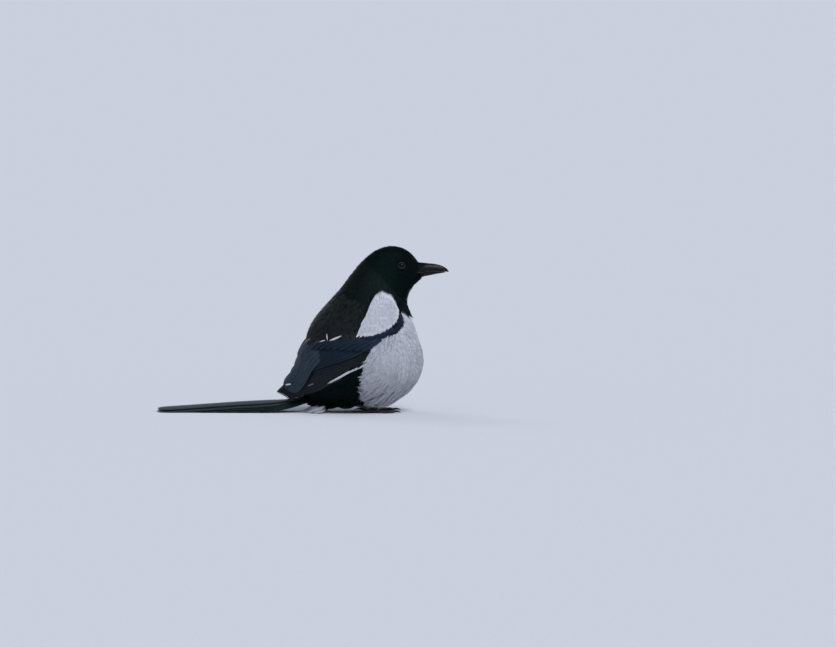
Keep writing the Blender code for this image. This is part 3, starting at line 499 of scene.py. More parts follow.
class Sheaf:
    """Collects closed forms as arrays, and makes one mesh of them."""

    def __init__(self):
        self.points, self.faces, self.marks, self.rims, self.uvs, self.normals = [], [], [], [], [], []
        self.count = 0

    def put(self, points, faces, marks, uvs, rims=None, normals=None):
        """Takes forms of one make. Faces are turned to point out."""
        points, faces = np.asarray(points, float).reshape(-1, 3), np.asarray(faces, int).reshape(-1, 3)
        corners = points[faces] - points.mean(0)
        if np.einsum("ij,ij->i", corners[:, 0], np.cross(corners[:, 1], corners[:, 2])).sum() < 0:
            faces = faces[:, ::-1]
        self.points.append(points)
        self.faces.append(faces + self.count)
        self.marks.append(np.asarray(marks, float).reshape(-1, 3))
        self.uvs.append(np.asarray(uvs, float).reshape(-1, 2))
        self.rims.append(np.zeros(len(points)) if rims is None else np.asarray(rims, float).reshape(-1))
        self.normals += [] if normals is None else [np.asarray(normals, float).reshape(-1, 3)]
        self.count += len(points)

    def piece(self, name, material, slot, attribute="strand", nodes=()):
        """Makes the mesh, with its marks in an attribute and none of it in the floor."""
        points = to_frame(np.concatenate(self.points))
        stagger = FLOOR_STAGGER * (points[:, 2] < FLOOR_GAP) * np.sin(np.arange(len(points))) ** 2
        points[:, 2] = np.maximum(points[:, 2], FLOOR_GAP + stagger)
        made = mesh_piece(name, points, np.concatenate(self.faces), material, nodes)
        layer = made.data.attributes.new(attribute, "FLOAT_VECTOR", "POINT")
        layer.data.foreach_set("vector", np.concatenate(self.marks).astype(np.float32).ravel())
        if attribute == "vane":
            layer = made.data.attributes.new("rim", "FLOAT", "POINT")
            layer.data.foreach_set("value", np.concatenate(self.rims).astype(np.float32))
        set_uv(made.data, np.concatenate(self.uvs))
        if self.normals:
            made.data.normals_split_custom_set_from_vertices(unit(np.concatenate(self.normals)).tolist())
        return made


def set_uv(mesh, uvs):
    """Unwraps a mesh by the places of its points, and carries over faces that cross the seam."""
    corner = np.empty(len(mesh.loops), np.int32)
    mesh.loops.foreach_get("vertex_index", corner)
    place = uvs[corner].reshape(-1, 3, 2)
    over_the_seam = (np.ptp(place[..., 0], axis=1) > 0.5)[:, None] & (place[..., 0] < 0.5)
    place[..., 0] += over_the_seam
    layer = mesh.uv_layers.new(name="OFBake")
    layer.uv.foreach_set("vector", np.clip(place, 0, 1).astype(np.float32).ravel())


def mesh_piece(name, points, faces, material, nodes=()):
    """A piece of triangles in the frame's metres, on the root body."""
    faces = np.asarray(faces, np.int32)
    mesh = bpy.data.meshes.new(name)
    mesh.vertices.add(len(points))
    mesh.vertices.foreach_set("co", np.asarray(points, np.float32).ravel())
    mesh.loops.add(faces.size)
    mesh.loops.foreach_set("vertex_index", faces.ravel())
    mesh.polygons.add(len(faces))
    mesh.polygons.foreach_set("loop_start", np.arange(0, faces.size, 3, dtype=np.int32))
    mesh.update(calc_edges=True)
    mesh.shade_smooth()
    mesh.materials.append(material)
    made = bpy.data.objects.new(name, mesh)
    bpy.context.scene.collection.objects.link(made)
    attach(made, "root")
    if nodes:
        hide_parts(*nodes)
    return made


def grid_faces(rows, columns, closed=True):
    """Triangles of a grid of points, closed round its columns if asked."""
    i, j = np.meshgrid(np.arange(rows - 1), np.arange(columns if closed else columns - 1), indexing="ij")
    k = (j + 1) % columns
    a, b, c, d = i * columns + j, (i + 1) * columns + j, (i + 1) * columns + k, i * columns + k
    return np.concatenate([np.stack([a, b, c], -1).reshape(-1, 3), np.stack([a, c, d], -1).reshape(-1, 3)])


def tube(sheaf, rings, marks, uvs):
    """A closed body through rings of points, with a point in the middle of each end."""
    rings = np.asarray(rings, float)
    rows, columns = rings.shape[:2]
    count = rows * columns
    faces = [grid_faces(rows, columns)]
    j = np.arange(columns)
    k = (j + 1) % columns
    faces.append(np.stack([np.full(columns, count), j, k], -1))
    faces.append(np.stack([np.full(columns, count + 1), count - columns + k, count - columns + j], -1))
    points = np.concatenate([rings.reshape(-1, 3), rings[0].mean(0)[None], rings[-1].mean(0)[None]])
    marks, uvs = (
        np.concatenate([values.reshape(count, -1), values[0].mean(0)[None], values[-1].mean(0)[None]])
        for values in (np.broadcast_to(marks, (rows, columns, 3)), uvs)
    )
    sheaf.put(points, np.concatenate(faces), marks, uvs)


def slab(sheaf, top, bottom, marks, rims, uvs):
    """A closed thin body between two like grids of points."""
    rows, columns = top.shape[:2]
    count = rows * columns
    upper = grid_faces(rows, columns, False)
    index = np.arange(count).reshape(rows, columns)
    rim = np.array([*index[0, :-1], *index[:-1, -1], *index[-1, :0:-1], *index[:0:-1, 0]])
    ahead = np.roll(rim, -1)
    edge = [np.stack([rim, ahead, ahead + count], -1), np.stack([rim, ahead + count, rim + count], -1)]
    faces = np.concatenate([upper, upper[:, ::-1] + count, *edge])
    points = np.concatenate([top.reshape(-1, 3), bottom.reshape(-1, 3)])
    marks, uvs, rims = (np.concatenate([values.reshape(count, -1)] * 2) for values in (marks, uvs, rims))
    sheaf.put(points, faces, marks, uvs, rims)


def sheet_uv(rows, columns):
    """An unwrap of a grid of points as one sheet."""
    return np.stack(np.meshgrid(np.linspace(0, 1, rows), np.linspace(0, 1, columns), indexing="ij"), -1)


def tuft_uv(t, angle):
    """The place of a root on the unwrap of the skin, whose strip under v = 0.14 is left free."""
    return np.stack([(angle / (2 * math.pi) + 0.5) % 1, 0.14 + 0.85 * t / body.last], -1)


def strand_faces(rings):
    """Triangles of one strand: a closed three-sided tube that ends in a point."""
    sides = ((0, 1), (1, 2), (2, 0))
    faces = [(0, 2, 1)]
    for k in range(0, 3 * rings - 3, 3):
        for a, b in sides:
            faces += [(k + a, k + b, k + 3 + b), (k + a, k + 3 + b, k + 3 + a)]
    tip = 3 * rings
    return np.array(faces + [(tip - 3 + a, tip - 3 + b, tip) for a, b in sides])


def comb(
    sheaf, line, normal, half, rng, seat, tone=None, strands=6, rings=3, strand=0.9, thick=0.22,
    fan=(0.4, 1.0, 0.8), rounding=0.25, fray=0.12, camber=0.12,
):
    """Adds a tuft of tapered strands on each line of points.

    half is the tuft's half width, and fan its share of that at root, middle and tip. strand and thick are the
    size of a strand. rounding shortens the outer strands, fray shortens some at random, and camber bows the
    tuft across.
    """
    count, stations = line.shape[:2]
    along = unit(np.gradient(line, axis=1))
    across = unit(np.cross(normal, along))
    up = np.cross(along, across)
    spread = np.linspace(-1, 1, strands) + rng.uniform(-0.6, 0.6, (count, strands)) / strands
    reach = 1 - rounding * np.abs(spread) ** 2 - fray * rng.random((count, strands))
    share = np.linspace(0, 1, rings + 1)
    s = reach[..., None] * share
    at = s * (stations - 1)
    i = np.minimum(at.astype(int), stations - 2)
    f = (at - i)[..., None]
    row = np.arange(count)[:, None, None]

    def read(values):
        return values[row, i] * (1 - f) + values[row, i + 1] * f

    middle, sideways, rise = read(line), read(across), read(up)
    half = np.broadcast_to(np.asarray(half, float), (count,))[:, None, None]
    offset = spread[..., None] * half * np.interp(s, [0, 0.45, 1], fan)
    bow = (camber * half * spread[..., None] ** 2)[..., None]
    middle = middle + sideways * offset[..., None] - rise * bow
    taper = np.interp(share, [0, 0.35, 0.8, 1], [0.35, 1, 0.75, 0])[:-1, None]
    wide, high = sideways[:, :, :-1] * taper * strand / 2, rise[:, :, :-1] * taper * thick
    ring = np.stack([middle[:, :, :-1] + wide, middle[:, :, :-1] - wide, middle[:, :, :-1] + high], 3)
    points = np.concatenate([ring.reshape(count, strands, 3 * rings, 3), middle[:, :, -1:]], 2)
    tip = 3 * rings
    faces = strand_faces(rings)[None] + (np.arange(count * strands) * (tip + 1))[:, None, None]
    tone = rng.random(count) if tone is None else tone
    marks = np.zeros((count, strands, tip + 1, 3))
    marks[..., 0] = np.append(np.repeat(share[:-1], 3), 1)
    marks[..., 1] = spread[..., None]
    marks[..., 2] = tone[:, None, None] * 0.7 + 0.3 * rng.random((count, strands))[..., None]
    uvs = seat[:, None, None, :] + marks[..., [1, 0]] * (0.0014, 0.0028) - (0, 0.0014)
    # The strands are shaded as the surface they lie on, so that a coat reads as soft.
    lean = 0.45 * sideways[:, :, :-1]
    facing = np.stack([rise[:, :, :-1] + lean, rise[:, :, :-1] - lean, rise[:, :, :-1]], 3)
    facing = np.concatenate([facing.reshape(count, strands, 3 * rings, 3), rise[:, :, -1:]], 2)
    sheaf.put(points, faces, marks, uvs, normals=facing)


def heading_back(t, angle, turn):
    """The way that plumage lies, back over the body and turned within the surface, and the normal there."""
    along, _, normal = body.axes(t, angle)
    back = -unit(along)
    return back * np.cos(turn)[:, None] + np.cross(normal, back) * np.sin(turn)[:, None], normal


def keep(chosen, *arrays):
    """The chosen rows of each array."""
    return [values[chosen] for values in arrays]


def strokes(relief, t, angle, length, lift, turn=0.0, free=0.0, sag=0.0):
    """Lines that run back over the plumage from each root, with the normal of the surface along them.

    lift goes from root to tip. A free line leaves the surface and hangs straight on, and sags.
    """
    stations = 5
    t, angle = np.array(t, float), np.array(angle, float)
    length, turn = np.broadcast_to(length, t.shape), np.broadcast_to(turn, t.shape)
    free, sag = np.broadcast_to(free, t.shape), np.broadcast_to(sag, t.shape)
    low, high = (np.broadcast_to(v, t.shape) for v in lift)
    points, normals = [], []
    for k in range(stations):
        share = k / (stations - 1)
        heading, normal = heading_back(t, angle, turn)
        rise = low + (high - low) * share**0.8 + relief.at(t, angle)
        place = body.flat_point(t, angle) + normal * rise[:, None]
        if k == 0:
            start, ahead = place, heading
        downwards = np.array([0, 0, -1.0]) * (sag * share)[:, None]
        straight = start + (ahead + downwards) * (length * share)[:, None]
        blend = (free * share)[:, None]
        points.append(place * (1 - blend) + straight * blend)
        normals.append(normal)
        dt, da = body.step(t, angle, heading * (length / (stations - 1))[:, None])
        t, angle = np.clip(t + dt, 0.05, body.last - 0.05), angle + da
    return np.stack(points, 1), np.stack(normals, 1)


NEAR_CELLS = [(a, b, c) for a in (-1, 0, 1) for b in (-1, 0, 1) for c in (-1, 0, 1)]


def crowded(cells, cell, place, spacing):
    """Whether a root taken before stands closer to a place than spacing."""
    x, y, z = place
    for a, b, c in NEAR_CELLS:
        for other in cells.get((cell[0] + a, cell[1] + b, cell[2] + c), ()):
            if (x - other[0]) ** 2 + (y - other[1]) ** 2 + (z - other[2]) ** 2 < spacing * spacing:
                return True
    return False


def scatter(spacing, allowed, rng, t_range):
    """Roots spread evenly over the body where allowed(x, z, t, angle), at least spacing apart."""
    rows, columns = 120, 180
    t = np.linspace(*t_range, rows)[:, None]
    angle = np.linspace(-math.pi, math.pi, columns, endpoint=False)[None, :]
    t, angle = (v.ravel() for v in np.broadcast_arrays(t, angle))
    along, around, _ = body.axes(t, angle)
    area = np.linalg.norm(np.cross(along, around), axis=-1)
    total = area.sum() * (t_range[1] - t_range[0]) / rows * 2 * math.pi / columns
    tries = int(total / spacing**2 * 3)
    pick = rng.choice(len(t), tries, p=area / area.sum())
    t = np.clip(t[pick] + rng.uniform(-0.5, 0.5, tries) * (t_range[1] - t_range[0]) / rows, *t_range)
    angle = angle[pick] + rng.uniform(-0.5, 0.5, tries) * 2 * math.pi / columns
    place = body.flat_point(t, angle)
    t, angle, place = keep(allowed(place[:, 0], place[:, 2], t, angle), t, angle, place)
    cells, kept = {}, []
    cell_of = map(tuple, np.floor(place / spacing).astype(int).tolist())
    for n, (cell, root) in enumerate(zip(cell_of, place.tolist())):
        if not crowded(cells, cell, root, spacing):
            cells.setdefault(cell, []).append(root)
            kept.append(n)
    return t[kept], angle[kept]


def under_wing(x, z):
    """Whether the folded wing covers places of the side view."""
    return inside(FOLDED_WING, x, z)


def edge_distance(outline, x, z):
    """How far places of the side view lie from an outline."""
    place, found = np.stack([x, z], -1), np.full(np.shape(x), np.inf)
    for a, b in zip(np.array(outline, float), np.array(outline[1:] + outline[:1], float)):
        share = np.clip(((place - a) @ (b - a)) / ((b - a) @ (b - a)), 0, 1)
        found = np.minimum(found, np.linalg.norm(place - a - share[..., None] * (b - a), axis=-1))
    return found


def path_places(t, angle, length, turn):
    """The side view place at the end of a run back over the body."""
    for _ in range(3):
        heading, _ = heading_back(t, angle, turn)
        dt, da = body.step(t, angle, heading * (length / 3)[:, None])
        t, angle = np.clip(t + dt, 0.05, body.last - 0.05), angle + da
    place = body.flat_point(t, angle)
    return place[:, 0], place[:, 2]


def trimmed(t, angle, length, outline, keep_in, turn=None):
    """Shortens the feathers whose tips would cross the edge of a marking."""
    turn = np.zeros(len(t)) if turn is None else turn
    length = np.broadcast_to(length, t.shape).astype(float)
    result = length * 0.2
    for share in np.linspace(0.3, 1, 8):
        good = inside(outline, *path_places(t, angle, length * share, turn)) == keep_in
        result = np.where(good, length * share, result)
    return result


LEFT_EYE = body.locate(*EYE_AT)
EYE_OUT = body.axes(*LEFT_EYE)[2]
EYE_CENTRES = {side: body.point(*LEFT_EYE, EYE_PROUD - EYE_RADIUS) * (1, side, 1) for side in (RIGHT, LEFT)}


def round_the_eye(t, angle):
    """How far each feather turns to part round the eye, and how far its root is from the eye."""
    place = body.flat_point(t, angle)
    centre = np.where((place[:, 1] > 0)[:, None], EYE_CENTRES[LEFT], EYE_CENTRES[RIGHT])
    away = place - centre
    along, _, normal = body.axes(t, angle)
    away -= normal * (away * normal).sum(-1, keepdims=True)
    distance = np.linalg.norm(away, axis=-1)
    back = -unit(along)
    push = 2.2 * np.exp(-np.maximum(distance - 4.2, 0) / 2.2)
    way = back + unit(away) * push[:, None]
    return np.arctan2((way * np.cross(normal, back)).sum(-1), (way * back).sum(-1)), distance


def skin(nodes):
    """One surface under all the feathers, by the coat's depth inside the solids."""
    relief = Relief(nodes, 4)
    rows, columns = 170, 120
    t = np.linspace(0, body.last, rows)[:, None]
    angle = (np.arange(columns) / columns * 2 * math.pi - math.pi)[None, :]
    t, angle = np.broadcast_arrays(t, angle)
    depth = np.interp(t, [0, 11, 14.5, 18], [2.6, 2.2, 1.1, 0.9])
    flat = body.flat_point(t, angle)
    depth = depth + 2.6 * at_gape(flat[..., 0] + 1, flat[..., 2])
    covered = under_wing(flat[..., 0], flat[..., 2]) & (flat[..., 0] < 12)
    depth = depth + covered * np.minimum(edge_distance(FOLDED_WING, flat[..., 0], flat[..., 2]), 3.0)
    rings = body.point(t, angle, np.maximum(relief.at(t, angle), 0) - depth)
    side_view = rings[..., 0], rings[..., 2]
    deep = (edge_distance(PATCH, *side_view) > 4) | (side_view[1] > 110)
    white = inside(PATCH, *side_view) & deep | inside(BREAST, *side_view)
    marks = np.stack([white * 1.0, t * 0, t * 0], -1)
    sheaf = Sheaf()
    tube(sheaf, rings, marks, tuft_uv(t, angle))
    return sheaf.piece("skin", skin_finish(), "black_plumage", nodes=nodes)


BODY_NODES = ("head", "neck", "back", "belly", "thigh_left", "thigh_right", "vent")
OUTER_NODES = BODY_NODES + ("wing_left", "wing_right", "scapulars_left", "scapulars_right")
outer = Relief(OUTER_NODES, 7)

BLACK_HEAD = plumage("black_feather_barbs", "#030606", "#060f0f", "#0a1515", 0.5, 0.06, tint="#88d0cc")
BLACK_NECK = plumage(
    "black_neck_barbs", "#050808", "#0a1112", "#101819", 0.5, 0.08, spread=0.4, tint="#a8d4d0"
)
# The mantle's black is paler than the head's: partly its own duller black, partly a painted reflection of a
# bright sky. Rump, arm and tail coverts share it.
BLACK_BACK = plumage(
    "black_mantle_barbs", "#08090a", "#131617", "#1d2224", 0.5, 0.15, spread=0.5, tint="#d8e0e8"
)
WHITE = plumage("white_shoulder_barbs", "#a6a8b3", "#c0c2ce", "#c8cad5", 0.8, 0.3, sheen=0.1, spread=0.06)
# Painted shade: the breast's white is greyer than the shoulder's, and the lower locks' white is greyer still,
# with darker roots, for the shade under the body.
SHADED_WHITE = plumage("shaded_white_breast_barbs", "#9c9ea9", "#b3b5c1", "#bec0cb", 0.85, 0.2, sheen=0.1, spread=0.3)
SHADED_LOOSE_WHITE = plumage("shaded_loose_white_barbs", "#6d6f77", "#9c9ea8", "#bbbdc7", 0.85, 0.2, sheen=0.1, spread=0.2)
COVERT = plumage(
    "blue_black_coverts", "#05070a", "#0c131b", "#16202b", 0.42, 0.25, spread=0.3, tint="#8fb4ff"
)


def gather(line, rng, pull):
    """Draws the tips of neighbouring tufts together into pointed locks."""
    leads = rng.choice(len(line), len(line) // 9, replace=False)
    near = np.argmin(np.linalg.norm(line[:, None, 0] - line[None, leads, 0], axis=-1), axis=1)
    share = np.linspace(0, 1, line.shape[1])[None, :, None]
    return line + (line[leads[near]] - line) * pull * share**1.5


def coat(
    name, roots, length, half, material, slot, seed, lift=(-1.2, 0.6), nodes=(), relief=outer,
    turn=0.0, free=0.0, sag=0.0, jitter=0.12, rough=0.2, uneven=0.11, pull=0.0, **form,
):
    """A piece of coat: a tuft at each root.

    lift goes from root to tip. jitter turns the tufts at random, rough lifts them, uneven changes their
    lengths and pull draws their tips into locks. form is what comb takes.
    """
    rng = np.random.default_rng(seed)
    t, angle = roots
    length = np.broadcast_to(length, t.shape) * rng.uniform(1 - uneven, 1 + uneven, len(t))
    turn = turn + rng.normal(0, jitter, len(t))
    bump = rng.uniform(-rough, rough, len(t))
    lift = lift[0] + bump, lift[1] + bump
    line, normal = strokes(relief, t, angle, length, lift, turn, free, sag)
    line = gather(line, rng, pull) if pull else line
    sheaf = Sheaf()
    comb(sheaf, line, normal, half, rng, tuft_uv(t, angle), **form)
    return sheaf.piece(name, material, slot, nodes=nodes)


def at_gape(x, z):
    """The side of the bill's base, which no feather covers."""
    return (x > 58.8 + 0.9 * np.abs(z - 161)) & (z > 156.5) & (z < 167.5)


def rim_lift(angle):
    """Feathers stand a little higher along the back and under the throat."""
    throat = 1.1 * np.clip((np.abs(angle) - 2.2) / 0.6, 0, 1)
    return throat + 0.8 * np.clip((0.7 - np.abs(angle)) / 0.4, 0, 1)


def head_coat():
    """Tiny feathers that part round the eye, longer ones on crown and throat, and loose ones on the chin."""
    rng = np.random.default_rng(11)

    def face(x, z, t, angle):
        return ~(at_gape(x, z) & (np.abs(angle) > 0.4) & (np.abs(angle) < 2.7))

    def crown(x, z, t, angle):
        return (t > 11.9) & (t < 14.4)

    def chin(x, z, t, angle):
        return np.abs(angle) > 2.45

    t, angle = scatter(0.95, face, rng, (14.2, 17.85))
    turn, distance = round_the_eye(t, angle)
    t, angle, turn, distance = keep(distance > EYE_HOLE, t, angle, turn, distance)
    length = np.interp(distance, [4, 7, 14], [1.6, 2.7, 3.8])
    lift = (-0.6 + 0.3 * rim_lift(angle) - 0.8 * np.clip(t - 17, 0, 1), 0.3 + 0.45 * rim_lift(angle))
    coat(
        "face_feathers", (t, angle), length, 0.75, BLACK_HEAD, "black_plumage", 12, lift, turn=turn,
        strands=5, rings=2, strand=0.36, thick=0.1, fray=0.2,
    )
    t, angle = scatter(1.4, crown, rng, (11.8, 14.5))
    turn, _ = round_the_eye(t, angle)
    coat(
        "crown_and_throat_feathers", (t, angle), 5.2, 1.2, BLACK_HEAD, "black_plumage", 13,
        (-1.0, 0.35 + rim_lift(angle)), turn=turn, strands=6, rings=3, strand=0.42, thick=0.12, fray=0.2,
    )
    roots = scatter(1.3, chin, rng, (15.6, 17.95))
    coat(
        "chin_feathers", roots, 4.5, 0.9, BLACK_HEAD, "black_plumage", 14, (-0.5, 1.7),
        strands=5, rings=3, strand=0.36, thick=0.12, fray=0.3, fan=(0.6, 1, 0.5),
    )


def neck_coat():
    """Black feathers of the neck, narrow along the white, whose tips lie over its edge."""
    rng = np.random.default_rng(21)
    longest, overlap = 8.5, 3.0

    def black(x, z, t, angle):
        below_head = (t < 12.1) & (t > 7.0 + 1.5 * rng.random(len(t)))
        return below_head & ~inside(BREAST, x, z) & ~inside(PATCH, x, z) & ~under_wing(x, z)

    t, angle = scatter(1.8, black, rng, (6.9, 12.2))
    place = body.flat_point(t, angle)
    edge = np.minimum(*(edge_distance(outline, place[:, 0], place[:, 2]) for outline in (PATCH, BREAST)))
    length = np.minimum(*(trimmed(t, angle, longest, outline, False) for outline in (PATCH, BREAST)))
    t, angle, length, edge = keep(length > 3, t, angle, length, edge)
    half = np.clip(0.5 + 0.6 * edge, 0.8, 1.8)
    lift = (-1.2, 0.45 + rim_lift(angle) + 0.5 * np.clip((10 - edge) / 6, 0, 1))
    coat(
        "neck_feathers", (t, angle), length + overlap, half, BLACK_NECK, "black_plumage", 22, lift,
        strands=8, rings=3, strand=0.48, thick=0.13, fray=0.3, jitter=0.06,
    )


def mantle_coat():
    """Broad black feathers of the back, narrow along the white patch, whose tips lie over the wing's edge."""
    rng = np.random.default_rng(31)
    longest, overlap = 13.0, 3

    def black(x, z, t, angle):
        behind_neck = t < 7.2 + 1.6 * rng.random(len(t))
        back = (z > 24) & (np.abs(angle) < 1.9) & ((x < -60) | (z > 68)) & behind_neck
        return back & ~inside(BREAST, x, z) & ~inside(PATCH, x, z) & ~under_wing(x, z)

    t, angle = scatter(2.8, black, rng, (0.05, 8.9))
    place = body.flat_point(t, angle)
    half = np.clip(0.5 + 0.6 * edge_distance(PATCH, place[:, 0], place[:, 2]), 0.9, 3.2)
    over_wing = trimmed(t, angle, longest, FOLDED_WING, False) + overlap
    length = np.minimum(trimmed(t, angle, longest, PATCH, False), over_wing)
    coat(
        "mantle_feathers", (t, angle), length, half, BLACK_BACK, "black_plumage", 32,
        (-1.4, 0.7 + rim_lift(angle)), strands=12, rings=3, strand=0.66, thick=0.14, rounding=0.4, camber=0.1,
        fray=0.12, jitter=0.07,
    )


def rump_coat():
    """Black feathers between the folded wings, down to the root of the tail."""
    rng = np.random.default_rng(36)

    def rump(x, z, t, angle):
        return (np.abs(angle) < 1.05) & (z > 20)

    t, angle = scatter(3.2, rump, rng, (0.3, 4.9))
    coat(
        "rump_feathers", (t, angle), 15.0, 3.2, BLACK_BACK, "black_plumage", 37, (-1.4, 0.9),
        relief=Relief(BODY_NODES, 7), free=0.9 * np.clip(1.6 - t, 0, 1), strands=10, rings=3, strand=0.66,
        thick=0.14, rounding=0.4, camber=0.1, fray=0.12, jitter=0.1,
    )


def breast_coat():
    """White feathers: smooth and fine on the breast, loose pointed locks lower down. Their grey deepens
    downwards as painted shade.
    """
    rng = np.random.default_rng(41)

    def upper(x, z, t, angle):
        return inside(BREAST, x, z) & (z > 44)

    def lower(x, z, t, angle):
        return inside(BREAST, x, z) & (z < 62)

    t, angle = scatter(2.0, upper, rng, (1, 11.5))
    place = body.flat_point(t, angle)
    low = np.clip((90 - place[:, 2]) / 50, 0, 1)
    length = trimmed(t, angle, 12 + 5 * low, BREAST, True)
    t, angle, place, low, length = keep(length > 5, t, angle, place, low, length)
    # Painted shade: the tone darkens from the upper breast down towards the belly, with a little at random.
    tone = np.clip((place[:, 2] - 50) / 55, 0, 1) * 0.85 + 0.15 * rng.random(len(t))
    form = dict(
        strands=9, rings=3, strand=0.48, thick=0.1, rounding=0.15, fray=0.35, camber=0.04,
        fan=(0.75, 1, 0.85), jitter=0.06, rough=0.1,
    )
    for name, side in SIDES:
        mine = place[:, 1] * side >= 0
        coat(
            f"breast_feathers_{name}", (t[mine], angle[mine]), length[mine], 2.1, SHADED_WHITE,
            "white_plumage", 42 + side, (-1.0, 0.35 + 0.35 * low[mine]), tone=tone[mine], **form,
        )
    t, angle = scatter(2.3, lower, rng, (0.3, 10))
    place = body.flat_point(t, angle)
    low = np.clip((62 - place[:, 2]) / 30, 0, 1)
    whole = 16 + 6 * low
    length = trimmed(t, angle, whole, BREAST, True)
    t, angle, place, low, length = keep(length > 0.4 * whole, t, angle, place, low, length)
    length = length + rng.uniform(0, 6, len(t)) ** 1.2 * (place[:, 0] < 12)
    form = dict(
        strands=9, rings=4, strand=0.42, thick=0.12, rounding=0.3, fray=0.35, camber=0.1,
        fan=(0.7, 1, 0.25), sag=0.3, jitter=0.1, rough=0.4, pull=0.6,
    )
    for name, side in SIDES:
        mine = place[:, 1] * side >= 0
        front = np.clip((place[mine, 0] - 36) / 14, 0, 1)
        coat(
            f"belly_locks_{name}", (t[mine], angle[mine]), length[mine], 1.9, SHADED_LOOSE_WHITE,
            "white_plumage", 45 + side, (-0.8, 0.7 + 1.3 * low[mine] * (1 - front)),
            free=np.clip((46 - place[mine, 2]) / 24, 0, 1) * (0.85 - 0.6 * front), **form,
        )
    fringe(rng)


def fringe(rng):
    """Long loose strands of the breast that hang over the front of the wing."""

    def beside_wing(x, z, t, angle):
        return inside(BREAST, x, z) & (z < 93) & (z > 14) & (x < 36) & (edge_distance(BREAST, x, z) < 9)

    t, angle = scatter(1.9, beside_wing, rng, (0.3, 10))
    high = np.clip((body.flat_point(t, angle)[:, 2] - 70) / 20, 0, 1)
    over = rng.uniform(0, 1, len(t)) ** 1.6 * (10 - 5 * high)
    length = trimmed(t, angle, 17 - 6 * high, BREAST, True) + over
    coat(
        "fringe_over_wing", (t, angle), length, 0.9, SHADED_WHITE, "white_plumage", 48, (0.0, 2.0),
        jitter=0.15, rough=0.5, pull=0.5, strands=5, rings=4, strand=0.32, thick=0.1, rounding=0.3,
        fray=0.45, camber=0.1, fan=(0.7, 1, 0.3),
    )


def patch_coat():
    """The white shoulder feathers, narrow along the patch's edge and rooted deeper under the black ones."""
    rng = np.random.default_rng(51)
    rooted = [(x, z + 2.5 * (z > 130)) for x, z in PATCH]  # the topmost roots lie under the black of the neck

    def white(x, z, t, angle):
        return inside(rooted, x, z) & (np.abs(angle) < 2.4)

    t, angle = scatter(1.9, white, rng, (4, 12))
    place = body.flat_point(t, angle)
    length = trimmed(t, angle, 13.0, PATCH, True)
    t, angle, place, length = keep(length > 5.5, t, angle, place, length)
    end = path_places(t, angle, length, np.zeros(len(t)))
    edge = edge_distance(PATCH, place[:, 0], place[:, 2])
    half = np.clip(0.3 + 0.6 * np.minimum(edge, 0.8 + edge_distance(PATCH, *end)), 0.6, 2.3)
    deep = 0.8 * ((edge < 4) & (place[:, 2] > 106))
    form = dict(
        strands=10, rings=3, strand=0.46, thick=0.1, rounding=0.2, fray=0.12, camber=0.04,
        fan=(0.5, 1, 1), jitter=0.03, rough=0.1, uneven=0.03,
    )
    for name, side in SIDES:
        mine = place[:, 1] * side > 0
        coat(
            f"shoulder_feathers_{name}", (t[mine], angle[mine]), length[mine] + 1.0, half[mine], WHITE,
            "white_plumage", 52 + side, (-1.2 - deep[mine], 0.45), nodes=(f"scapulars_{name}",), **form,
        )


def vent_coat():
    """Black feathers of flank, thigh and vent, which lie flat beside the wing and hang free at the hem."""
    rng = np.random.default_rng(61)

    def black(x, z, t, angle):
        return (z < 60) & (np.abs(angle) > 1.1) & ~inside(BREAST, x, z) & ~under_wing(x, z)

    t, angle = scatter(2.4, black, rng, (0.2, 7))
    place = body.flat_point(t, angle)
    clear = np.clip(edge_distance(FOLDED_WING, place[:, 0], place[:, 2]) / 7, 0, 1)
    coat(
        "flank_and_vent_feathers", (t, angle), 10.0, 2.3, BLACK_HEAD, "black_plumage", 62,
        (-1.8 + 0.6 * clear, -0.4 + 1.2 * clear), free=0.6 * np.clip((30 - place[:, 2]) / 20, 0, 1), sag=0.1,
        strands=9, rings=3, strand=0.55, thick=0.14, fray=0.25, fan=(0.5, 1, 0.6),
    )


def rump_marks():
    """The white feather edges that show between the mantle and the folded wing."""
    rng = np.random.default_rng(66)
    runs = [  # from root to tip in the side view, with the half width
        ((-26.5, 90.5), (-34.5, 87), (-42.2, 83.6), 1.2),
        ((-43.2, 92.5), (-42.8, 88.2), (-41.8, 84.0), 0.6),
        ((-64.0, 81.0), (-68.0, 78.0), (-71.6, 74.6), 1.1),
        ((-45.0, 85.4), (-48.4, 84.2), (-52.0, 82.6), 0.5),
    ]
    form = dict(strands=7, rings=4, strand=0.4, thick=0.12, fan=(0.4, 1, 0.3), rounding=0.3)
    sheaf = Sheaf()
    for *run, half in runs:
        t, angle = curve_at([body.locate(*place) for place in run], np.linspace(0, 2, 6)).T
        for side in (RIGHT, LEFT):
            lift = outer.at(t, side * angle) + np.linspace(0.9, 1.5, 6)
            line, normal = body.point(t, side * angle, lift), body.axes(t, side * angle)[2]
            comb(sheaf, line[None], normal[None], half, rng, tuft_uv(t[:1], side * angle[:1]), **form)
    return sheaf.piece("white_edges_over_wing", WHITE, "white_plumage")


def wing_point(t, angle, lift, side):
    """A place that stands off the sheet of the folded wing on one side."""
    return wing.point(t, angle, lift) * (1, side, 1)


def on_wing(line, steps):
    """A line of the side view as t and angle on the wing's sheet."""
    return curve_at([wing.locate(*place) for place in line], np.linspace(0, len(line) - 1, steps))


VANE_COLUMNS = np.array([-1, -0.8, -0.45, -0.1, 0, 0.1, 0.45, 0.8, 1])  # shares of a vane's half width
SHAFT = np.array([0, 0, 0, 0.02, 0.18, 0.02, 0, 0, 0])  # how far the shaft stands proud there


